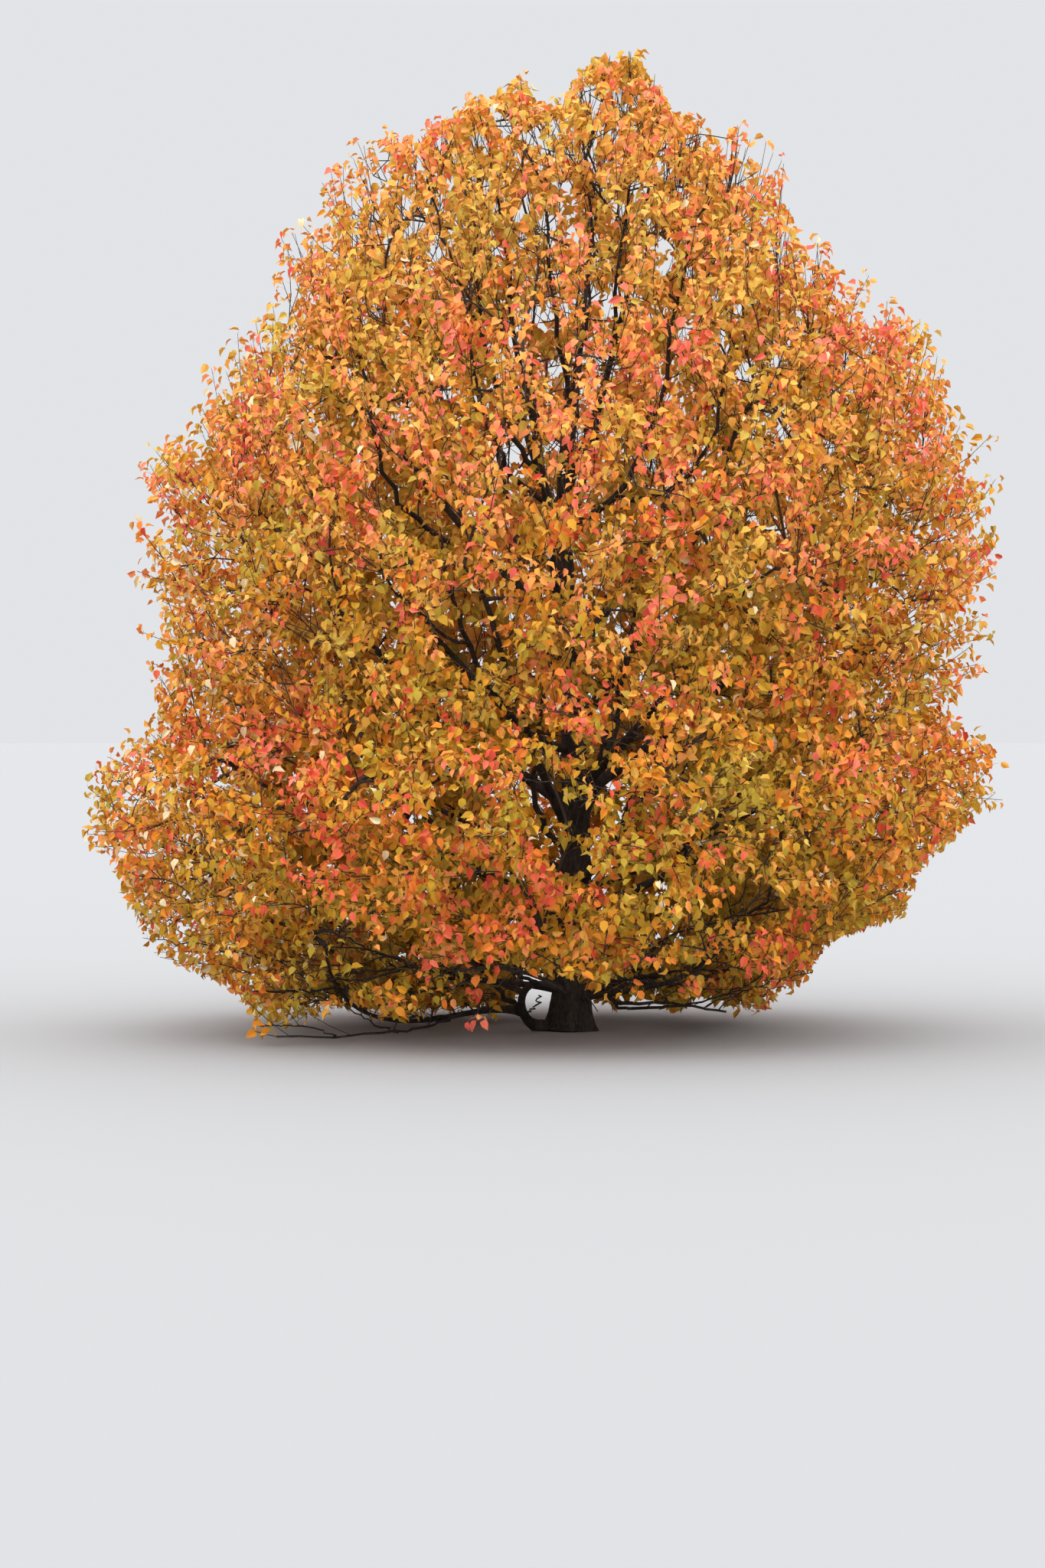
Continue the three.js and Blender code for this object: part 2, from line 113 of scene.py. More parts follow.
BASAL_CURVE = [(-0.110, -0.030, 0.012), (-0.300, -0.060, 0.030), (-0.260, -0.330, 0.330)]
LOW_CURVE = [
    (-0.220, -0.084, 0.098),
    (-0.420, -0.100, 0.140),
    (-0.600, -0.190, 0.050),
    (-0.800, -0.270, 0.066),
]
BEND_SHARE = 0.55  # how far along its run a bough bends up
BOUGH_TAPER = 0.8
STEM_RISE = 0.06  # a stem ends this far above the middle of its mass
STEM_BEND = 0.5
SEED = 11

# The main twigs, as in the source
OUTER_TIPS = 78  # twig tips spread over the crown's surface
INNER_TIPS = 14  # and over a smaller crown inside it
RIM_TIPS = 13  # and up each edge of its outline
TIP_INSET = 0.4  # how far the outer tips stay inside the outline
INSET_LOW = 0.8
INSET_HIGH = 1.2
TOP_INSET = 0.38
LOWEST_TIP = 0.13
INNER_SHARE = 0.6
STEM_FORKS = (0.3, 0.5, 0.7, 0.85, 1)  # where twigs can leave a stem
DETOUR_COST = 0.35  # how much a twig minds a long way back to the trunk
LIFT = 0.2  # how far a twig's bend is lifted, as a share of its length
CELL_MARGIN = 0.006  # each mass keeps this far from the plane it shares with its neighbour
TIP_PULL = 0.12  # a tip outside its mass's space is pulled in by this share, at most TIP_PULLS times
TIP_PULLS = 6
TIP_MARGIN = 0.04
SHORTEST_TWIG = 0.09
TWIG_RADIUS = 0.012
TWIG_TIP_RADIUS = 0.007
GROUND_CLEARANCE = 0.012
MAIN_TWIG_INSET = 0.2  # main twigs that would show bare at the skyline are left out
TOP_TWIG_SHARE = 0.55  # and those of the upright crown are slimmer

# The camera, a good way off and level with the lower half of the tree
CAMERA_PLACE = (-0.228, -20.0, 1.5)
CAMERA_AIM = (-0.228, 0.0, 1.195)
CAMERA_LENS = 94.8

GOLDEN_ANGLE = np.pi * (3 - np.sqrt(5))
GOLDEN_SHARE = (np.sqrt(5) - 1) / 2
UP = np.array([0.0, 0.0, 1.0])
TINY = 1e-9
NEARLY_UPRIGHT = 0.95


def chance(seed, n):
    """The nth number, from 0 to 1, of the run that a seed starts, as in the source."""
    wrap = 0xFFFFFFFF
    t = (seed * 0x9E3779B1 + n * 0x6D2B79F5) & wrap
    t = ((t ^ (t >> 15)) * (t | 1)) & wrap
    t ^= (t + (((t ^ (t >> 7)) * (t | 61)) & wrap)) & wrap
    return (t ^ (t >> 14)) / 2**32


def lerp(low, high, share):
    return low + (high - low) * share


def ramp(values, start, span):
    """0 up to the start, then rising evenly to 1 over the span."""
    return np.clip((values - start) / span, 0, 1)


def unit(vectors):
    length = np.linalg.norm(vectors, axis=-1, keepdims=True)
    return vectors / np.maximum(length, TINY)


def dot(a, b):
    return np.sum(a * b, axis=-1, keepdims=True)


def blended(shares, *ways):
    """The ways added up by their shares."""
    return sum(share * way for share, way in zip(shares, ways))


def turned_about(along, angles):
    """Unit vectors square to each direction, turned round it by the angles."""
    level = unit(np.cross(along, np.where(np.abs(along[..., 2:]) > NEARLY_UPRIGHT, (0.0, 1.0, 0.0), UP)))
    upward = np.cross(level, along)
    return level * np.cos(angles)[..., None] + upward * np.sin(angles)[..., None]


def numbered(counts):
    """The owner of each thing when each owner has so many, and its number with that owner."""
    owner = np.repeat(np.arange(len(counts)), counts)
    return owner, np.arange(len(owner)) - (np.cumsum(counts) - counts)[owner]


# Curves and paths


def bezier(points, shares):
    """Places along one curve, or along many, from its control points."""
    points = np.asarray(points, float)
    share = np.asarray(shares, float)[:, None]
    rows = [points[..., k, None, :] for k in range(points.shape[-2])]
    while len(rows) > 1:
        rows = [a + (b - a) * share for a, b in zip(rows, rows[1:])]
    return rows[0]


def part_way(curves, shares):
    """The place at a share of each curve of three points, and the way on from there."""
    a, b, c = np.moveaxis(curves, 1, 0)
    share = shares[:, None]
    places = a * (1 - share) ** 2 + 2 * b * share * (1 - share) + c * share**2
    return places, unit((b - a) * (1 - share) + (c - b) * share)


def path_length(paths):
    return np.linalg.norm(np.diff(paths, axis=-2), axis=-1).sum(axis=-1)


def path_runs(paths):
    """How far along its path each place is."""
    steps = np.linalg.norm(np.diff(paths, axis=-2), axis=-1)
    return np.concatenate([np.zeros(steps.shape[:-1] + (1,)), np.cumsum(steps, axis=-1)], axis=-1)


def curve_length(curves, places, end=1):
    """Length of each curve up to a share of it, measured from place to place."""
    return path_length(bezier(curves, np.linspace(0, end, places)))


# The crown


def crown_axis(height):
    return APEX_OFFSET * ramp(height, LEAN_START, TREE_HEIGHT - LEAN_START)


def crown_reach(height, azimuth):
    """Reach of the crown. The hidden front and back take the mean of left and right."""
    left = np.interp(height, OUTLINE[:, 0], OUTLINE[:, 1])
    right = np.interp(height, OUTLINE[:, 0], OUTLINE[:, 2])
    side = np.cos(azimuth)
    to_right = np.maximum(side, 0) ** 2
    to_left = np.minimum(side, 0) ** 2
    return right * to_right + left * to_left + (left + right) / 2 * (1 - side**2)


def crown_point(height, azimuth, share, inset=0):
    reach = crown_reach(height, azimuth) * share - inset
    height = height + np.zeros_like(reach)
    return np.stack([crown_axis(height) + reach * np.cos(azimuth), reach * np.sin(azimuth), height], axis=-1)


def from_axis(places):
    """How far each place is from the crown's axis, and how far the crown reaches there."""
    x = places[..., 0] - crown_axis(places[..., 2])
    y = places[..., 1]
    return np.hypot(x, y), crown_reach(places[..., 2], np.arctan2(y, x))


def crown_share(places):
    """How far out each place is, as a share of the crown's reach at its height and azimuth."""
    distance, reach = from_axis(places)
    return distance / reach


def as_seen(places):
    """Where each place shows from the photographed side: x and z in the upright plane through the trunk."""
    across, back, up = CAMERA_PLACE
    nearness = back / (back - places[..., 1])
    return across + (places[..., 0] - across) * nearness, up + (places[..., 2] - up) * nearness


def seen_at(x, y, z):
    """The place that shows at x and z from the photographed side and is y behind the trunk."""
    across, back, up = CAMERA_PLACE
    nearness = (back - y) / back
    return across + (x - across) * nearness, y, max(up + (z - up) * nearness, LOWEST_WOOD)


def seen_margins(places):
    """How far each place shows above the lower edge of the foliage and below its skyline."""
    x, z = as_seen(places)
    return z - np.interp(x, *LOWER_EDGE.T), np.interp(x, *SKYLINE.T) - z


def in_crown(places, depth=0):
    """Whether each place is inside the crown's outline by a depth, and inside the box of the whole tree."""
    height = places[:, 2]
    limit = OUTER_LIMIT + LOW_SPREAD * np.clip(1 - height / LOW_SPREAD_TOP, 0, 1)
    limit += HIGH_SPREAD * np.clip(1 - np.abs(height - SHOULDER_HEIGHT) / SHOULDER_SPAN, 0, 1)
    distance, reach = from_axis(places)
    above, below = seen_margins(places)
    inside = (distance < reach * limit - depth) & np.all((places > BOX_LOW) & (places < BOX_HIGH), axis=1)
    return inside & (above > depth * LOWER_DEPTH) & (below > depth * SKYLINE_DEPTH)


def even_heights(count):
    """Heights of a number of points spread evenly over the crown's surface."""
    height, left, right = OUTLINE.T
    reach = (left[1:] + right[1:] + left[:-1] + right[:-1]) / 4
    slant = np.hypot(np.diff(height), np.diff(left + right) / 2)
    area = np.concatenate([[0], np.cumsum(reach * slant)])
    return np.interp((np.arange(count) + 0.5) / count * area[-1], area, height)


def steepness(height):
    """0 in the spreading lower crown and 1 in the upright upper one."""
    return ramp(height, STEEP_FROM, STEEP_SPAN)


# The trunk and the boughs


def trunk_axis(height):
    sway = [size * np.sin(np.pi * height / span) for size, span in zip(TRUNK_SWAY, SWAY_SPAN)]
    return np.stack([*sway, height + np.zeros_like(sway[0])], axis=-1)


def trunk_radius(height, angle):
    stem = lerp(TRUNK_RADIUS, FORK_RADIUS, (np.minimum(height, TRUNK_HEIGHT) / TRUNK_HEIGHT) ** TRUNK_TAPER)
    lobe = FLARE_LOBE * np.cos(FLARE_LOBES * angle + FLARE_TURN)
    return stem + (FLARE_RADIUS - TRUNK_RADIUS + lobe) * np.exp(-height / FLARE_FADE)


def leader_curve():
    fork = trunk_axis(TRUNK_HEIGHT)
    return np.array([fork, fork + UP * LEADER_RISE, LEADER_BEND, LEADER_TIP])


def leader_radius(shares):
    """The leader thins quickly above the fork, where the uppermost limbs leave it."""
    return lerp(LEADER_TIP_RADIUS, FORK_RADIUS, (1 - shares) ** LEADER_TAPER)


@dataclass
class Bough:
    """A bough and the stem that runs on from it into the mass of foliage that it carries."""

    name: str
    mass: str
    tier: str
    curve: np.ndarray
    stem: np.ndarray
    centre: np.ndarray
    base_radius: float
    tip_radius: float
    from_inside: bool  # whether its curve starts inside the trunk

    def radius(self, shares):
        return lerp(self.base_radius, self.tip_radius, shares**BOUGH_TAPER)


def stem_curve(curve, centre):
    direction = unit(curve[-1] - curve[-2])
    start = curve[-1] + direction * JOINT_GAP
    end = centre + UP * STEM_RISE
    bend = start + direction * np.linalg.norm(end - start) * STEM_BEND
    return np.array([start, bend, end])


def bough_curve(tier, leave, azimuth):
    outward = np.array([np.cos(azimuth), np.sin(azimuth), 0])
    start = trunk_axis(leave)
    tip = crown_point(tier.tip_height, azimuth, tier.tip_share)
    run = BEND_SHARE * np.hypot(*(tip - start)[:2])
    return np.array([start, start + outward * run + UP * run * tier.rise, tip])


def plan_boughs():
    boughs = []
    for level, tier in enumerate(TIERS):
        for i in range(tier.count):
            stray = (chance(SEED + level, i) - 0.5) * 2 * WANDER
            azimuth = np.radians(tier.turn + 360 / tier.count * i + stray)
            leave = lerp(tier.leave_low, tier.leave_high, (i + 1) * GOLDEN_SHARE % 1)
            curve = bough_curve(tier, leave, azimuth)
            number = len(boughs)
            if number == BASAL_STEM:
                curve = np.array([*BASAL_CURVE, curve[-1]])
            if number == LOW_LIMB:
                curve = np.array(LOW_CURVE)
            centre = crown_point(tier.centre_height, azimuth, tier.centre_share)
            boughs.append(
                Bough(
                    name=f"{tier.name}_bough_{i + 1}",
                    mass=f"{tier.name}_foliage_{i + 1}",
                    tier=tier.name,
                    curve=curve,
                    stem=stem_curve(curve, centre),
                    centre=centre,
                    base_radius=BASAL_RADIUS if number == BASAL_STEM else tier.base_radius,
                    tip_radius=tier.tip_radius,
                    from_inside=number not in (BASAL_STEM, LOW_LIMB),
                )
            )
    return boughs


# Wood grown by the source's rule


class Forks:
    """The places that new wood can leave from: where, how far along the wood from the trunk, how thick."""

    def __init__(self, room):
        self.at = np.empty((room, 3))
        self.back = np.empty(room)
        self.radius = np.empty(room)
        self.count = 0

    def add(self, at, back, radius):
        end = self.count + len(at)
        self.at[self.count : end] = at
        self.back[self.count : end] = back
        self.radius[self.count : end] = radius
        self.count = end

    def add_path(self, path, back, radii):
        self.add(path, back + path_runs(path), radii)

    def ways_to(self, tip, drop_cost=0, level_cost=0):
        """How long the way from the trunk to a tip is by each fork. A way down or out may cost more."""
        apart = self.at[: self.count] - tip
        drop = np.maximum(apart[:, 2], 0)
        level = np.hypot(apart[:, 0], apart[:, 1])
        way = np.linalg.norm(apart, axis=1) + DETOUR_COST * self.back[: self.count]
        return way + drop_cost * drop + level_cost * level


@dataclass
class Limbs:
    """Limbs of one order: their curves, and the radii at both ends."""

    curves: np.ndarray
    base_radii: np.ndarray
    tip_radii: np.ndarray

    def picked(self, mask):
        return Limbs(self.curves[mask], self.base_radii[mask], self.tip_radii[mask])


def deal_tips(boughs):
    """The source's main twig tips, dealt to the mass whose centre is nearest."""
    dealt = []
    for i in range(RIM_TIPS):
        height = lerp(OUTLINE[1, 0], TREE_HEIGHT, (i + 0.5) / RIM_TIPS)
        dealt += [(height, 0, 1, TIP_INSET), (height, np.pi, 1, TIP_INSET)]
    for i, height in enumerate(even_heights(OUTER_TIPS)):
        inset = TIP_INSET * lerp(INSET_LOW, INSET_HIGH, chance(SEED, i))
        dealt.append((height, i * GOLDEN_ANGLE, 1, inset))
    for i, height in enumerate(even_heights(INNER_TIPS)):
        dealt.append((height, i * GOLDEN_ANGLE + 1, INNER_SHARE, 0))
    heights, azimuths, shares, insets = np.array(dealt).T
    tips = crown_point(np.clip(heights, LOWEST_TIP, TREE_HEIGHT - TOP_INSET), azimuths, shares, insets)
    centres = np.array([bough.centre for bough in boughs])
    nearest = np.linalg.norm(tips[:, None] - centres, axis=-1).argmin(axis=1)
    return [tips[nearest == i] for i in range(len(boughs))]


def space_of(bough, boughs):
    """Whether a place is nearer this mass's centre than any other, by a margin."""
    others = np.array([other.centre for other in boughs if other is not bough])
    normals = others - bough.centre
    half = np.linalg.norm(normals, axis=1) / 2
    normals = unit(normals)
    limits = normals @ bough.centre + half - CELL_MARGIN
    return lambda p, margin: p[2] > GROUND_CLEARANCE + margin and np.all(normals @ p < limits - margin)


def bowed(start, tip, lift=LIFT, sideways=0):
    """The control points of a twig that bows upwards between a fork and a tip."""
    return np.array([start, (start + tip) / 2 + UP * np.linalg.norm(tip - start) * lift + sideways, tip])


def grow_main_twigs(boughs):
    curves = []
    for bough, tips in zip(boughs, deal_tips(boughs)):
        in_space = space_of(bough, boughs)
        forks = Forks(len(STEM_FORKS) + len(tips))
        back = curve_length(bough.stem, MEASURED_STEM) * np.array(STEM_FORKS)
        forks.add(bezier(bough.stem, STEM_FORKS), back, TWIG_RADIUS)
        for tip in sorted(tips, key=lambda t: np.linalg.norm(t - bough.stem[0])):
            for _ in range(TIP_PULLS):
                if not in_space(tip, TIP_MARGIN):
                    tip = lerp(tip, bough.centre, TIP_PULL)
            for i in np.argsort(forks.ways_to(tip)):
                curve = bowed(forks.at[i], tip)
                length = np.linalg.norm(tip - forks.at[i])
                if length > SHORTEST_TWIG and all(in_space(p, TWIG_RADIUS) for p in curve):
                    curves.append(curve)
                    forks.add(bezier(curve, [0.5]), forks.back[i] + length / 2, TWIG_RADIUS)
                    break
    curves = np.array(curves)
    above, below = seen_margins(curves[:, 2])
    curves = curves[(above > 0) & (below > MAIN_TWIG_INSET)]
    slim = lerp(1, TOP_TWIG_SHARE, steepness(curves[:, 2, 2]))
    return Limbs(curves, TWIG_RADIUS * slim, TWIG_TIP_RADIUS * slim)


# The leader, and where finer wood can leave the wood that stands: first place, last place and their number
LEADER_TIP = (0.19, -0.03, 4.46)
LEADER_BEND = (0.02, 0.03, 3.55)
LEADER_RISE = 0.4  # how far the leader runs straight on up from the fork
LEADER_TIP_RADIUS = 0.005
LEADER_TAPER = 4
TRUNK_FORKS = (0.06, TRUNK_HEIGHT - 0.04, 60)  # heights
BOUGH_FORKS = (0.3, 1, 14)  # and shares of the length of the others
MASS_STEM_FORKS = (0.05, 1, 10)
LEADER_FORKS = (0, 0.97, 24)
MAIN_TWIG_FORKS = (0.2, 1, 8)
TRUNK_FORK_RADIUS = 0.03
LEADER_BACK = 0.6  # how far out along the wood the leader counts as starting
MAIN_TWIG_BACK = 0.9  # and a main twig
FORK_ROOM = 60000

# Lengths are measured along so many places
MEASURED_STEM = 9
MEASURED_FOOT = 6
MEASURED_BOUGH = 14
MEASURED_CARRIER = 7
MEASURED_SHOOT = 5

# Limbs and branchlets
LIMB_RADIUS = 0.0105
LIMB_TIP_RADIUS = 0.0055
BRANCHLET_RADIUS = 0.0060
BRANCHLET_TIP_RADIUS = 0.0028
THICKENING = 0.6  # a limb's foot is its order's radius times this plus its length
LEAST_TAPER = 1.15  # a limb's foot is at least so many times as thick as its tip
WOOD_SHARE_OF_PARENT = 0.8
FIRST_FORK = 0.25  # share of a limb's length
FORK_STEP = 0.07
FEWEST_FORKS = 3
DROP_COST = 1.2  # how much wood minds a way down
LEVEL_COST = 1.1  # and a level way, for the steep wood of the upper crown
STEEP_FROM = 1.5  # height from which the wood grows steeper, and over what height
STEEP_SPAN = 1.5
STEEP_LIFT = -0.04
SIDE_STRAY = 0.07
STRAY_WAYS = (1, 1, 0.4)  # wood strays least up and down
HEIGHT_STRAY = 0.06  # strays of the tips from their even places
AZIMUTH_STRAY = 0.05
SHARE_STRAY = 0.035
SKYLINE_PRESS = 0.6  # how much of what a tip lacks below the skyline it is pressed down
LOWEST_WOOD = 0.02
LOWEST_SURFACE = 0.004  # nothing but the trunk comes lower


@dataclass
class Layer:
    """Tips of limbs spread evenly over the crown, a share of the way out. Insets keep them inside it."""

    share: float
    count: int
    turn: float
    low_inset: float
    top_inset: float
    lower_edge_inset: float
    skyline_inset: float


# Only the longest shoots reach on from the tips of these layers to the outline
LIMB_LAYER = Layer(0.72, 230, 0.5, 0.1, 0.1, 0.22, 0.45)
BRANCHLET_LAYERS = [
    Layer(0.97, 1330, 0, 0.06, 0.18, 0.05, 0.12),
    Layer(0.85, 790, 1, 0.06, 0.18, 0.05, 0.12),
    Layer(0.68, 600, 2, 0.06, 0.18, 0.05, 0.12),
    Layer(0.48, 360, 3, 0.06, 0.18, 0.05, 0.12),
]

# Limbs that the photo shows bare
SEEN_STEPS = 16
SEEN_FORKS_FROM = 3  # step from which finer wood can leave such a limb
SEEN_TAPER = 0.7
SEEN_HALF = (-9, -5, -1)  # steps at the start, middle and end of its outer half
CROOK = 0.012  # how far each step strays
CROOK_WAYS = (1, 1, 0.3)
BARE_LOW = 0.65  # leaves seldom hide them, least of all below this height
BARE_WIDTHS = (0.052, 0.037)
BARE_SHARES = (0.9, 0.65)
BARE_STEPS = slice(2, 12)  # the rest of such a limb is leafy
BARE_DEPTH = 0.01  # how far behind its middle a leaf can start to hide it

# Growth heads away from the heart of the crown, which is level with its foot and well below its top
HEART_LEAN = 0.7
HEART_RISE = 0.55
HEART_HEIGHT = 0.45

# Shoots. Pulls are on along the carrier, aside and out of the crown, and rises are low down and high up
SHOOT_SPACING = 0.048
FEWEST_SIDE_SHOOTS = 2
SHOOT_LENGTHS = (0.10, 0.24)
LEADING_LENGTHS = (0.22, 0.44)
DEPTH_LENGTHS = (0.7, 1.1)  # lengths deep in the crown and at its surface
SHOOT_RADIUS = 0.0026
SHOOT_TIP_RADIUS = 0.0013
END_SHARE = 0.995
CARRIER_TURN = 1.7
SHOOT_TWIST = 0.3
SHOOT_STRAY = 0.12
SIDE_PULLS = (0.65, 0.75, 0.35)
SIDE_RISES = (0.3, 0.75)
LEADING_PULLS = (1, 0.35)  # the leading shoot of a carrier heads straight on
LEADING_RISES = (0.2, 0.7)
CURL_RISES = (0.35, 0.8)
CURL_OUT = 0.15
OUTER_SHARE = 0.75  # leading shoots are long from here out
TOP_TUFTS_FROM = 3.5  # from this height up some side shoots fall away, and the leading ones stand free
TOP_TUFTS_SPAN = 0.9
TOP_SIDE_SHARES = (0.6, 0.3)

# Leafy shoots leave each order of wood from these shares of its length on
BRANCHLET_SHOOTS_FROM = 0.3
LIMB_SHOOTS_FROM = 0.5
MAIN_TWIG_SHOOTS_FROM = 0.5
SEEN_SHOOTS_FROM = 0.3
BARE_SHOOT_LIMIT = 0.8  # no shoot stands bare further out
BARE_SHOOT_LOSS = 0.55  # and so many of the others have fallen

# The outline that shoots and leaves keep to
OUTER_LIMIT = 1.045
HIGH_SPREAD = 0.15  # how much further the sprays spread at the crown's shoulder
SHOULDER_HEIGHT = 4.25
SHOULDER_SPAN = 0.3
LOW_SPREAD = 0.60  # and near the ground
LOW_SPREAD_TOP = 0.5
SKYLINE_DEPTH = 0.5  # how much of a depth counts at the skyline and at the lower edge
LOWER_DEPTH = 0.35
BOX_LOW = np.array([-2.32, -2.09, 0.028])  # the visual model keeps inside this box
BOX_HIGH = np.array([2.08, 2.12, 4.88])
SHOOT_SIZES = (0.25, 0.35, 0.5, 0.65, 0.8, 0.9, 1)  # to which a shoot may be cut to fit
TOP_ROOM = 0.02
LEADING_MARGIN = 0.04
LEADING_REACH = 0.09  # leading shoots reach so much further
RAGGED_DEPTH = 0.07  # each shoot may end so much short of the outline
TUFT_DEPTHS = (0.07, 0.12)  # how far the outline falls back between its tufts, low down and at the top
TUFT_SIZE = 0.15
TUFT_LEVEL = 0.3
TUFT_STRENGTH = 0.8

# The top of the crown as the photographed side shows it: x and z of the notches and tufts of the skyline
SKYLINE = np.array(
    [
        (-3.0, 3.80),
        (-1.50, 3.80),
        (-1.24, 3.95),
        (-1.18, 4.20),
        (-1.11, 4.33),
        (-1.05, 4.27),
        (-0.97, 4.32),
        (-0.86, 4.32),
        (-0.81, 4.42),
        (-0.78, 4.34),
        (-0.70, 4.38),
        (-0.62, 4.44),
        (-0.56, 4.42),
        (-0.50, 4.48),
        (-0.43, 4.56),
        (-0.38, 4.46),
        (-0.33, 4.58),
        (-0.27, 4.54),
        (-0.22, 4.72),
        (-0.17, 4.50),
        (-0.09, 4.45),
        (-0.04, 4.54),
        (0.01, 4.48),
        (0.06, 4.67),
        (0.10, 4.60),
        (0.17, 4.80),
        (0.23, 4.64),
        (0.29, 4.78),
        (0.33, 4.62),
        (0.38, 4.76),
        (0.43, 4.60),
        (0.46, 4.42),
        (0.58, 4.41),
        (0.63, 4.43),
        (0.68, 4.26),
        (0.73, 4.30),
        (0.79, 4.44),
        (0.85, 4.37),
        (0.93, 4.35),
        (0.98, 4.22),
        (1.05, 4.22),
        (1.08, 3.98),
        (1.16, 3.82),
        (1.40, 3.74),
        (1.52, 3.62),
        (3.0, 3.62),
    ]
)

# And the lower edge of its foliage. Places in front of the trunk show lower than they are, so that some
# of these are below 0
LOWER_EDGE = np.array(
    [
        (-3.0, 0.90),
        (-2.32, 0.90),
        (-2.20, 0.78),
        (-2.12, 0.56),
        (-2.07, 0.44),
        (-1.92, 0.34),
        (-1.72, 0.27),
        (-1.60, 0.18),
        (-1.56, 0.00),
        (-1.54, -0.08),
        (-1.24, -0.06),
        (-1.22, 0.12),
        (-1.00, 0.10),
        (-0.96, -0.02),
        (-0.70, -0.01),
        (-0.66, 0.06),
        (-0.56, 0.08),
        (-0.52, -0.02),
        (-0.32, -0.02),
        (-0.28, 0.14),
        (-0.20, 0.27),
        (0.08, 0.27),
        (0.12, 0.04),
        (0.22, 0.04),
        (0.26, 0.16),
        (0.42, 0.18),
        (0.46, 0.11),
        (0.55, 0.11),
        (0.60, 0.19),
        (0.70, 0.18),
        (0.74, 0.10),
        (0.92, 0.10),
        (1.00, 0.16),
        (1.16, 0.28),
        (1.26, 0.46),
        (1.44, 0.52),
        (1.62, 0.57),
        (1.70, 0.80),
        (1.84, 0.94),
        (2.00, 1.08),
        (3.0, 1.10),
    ]
)

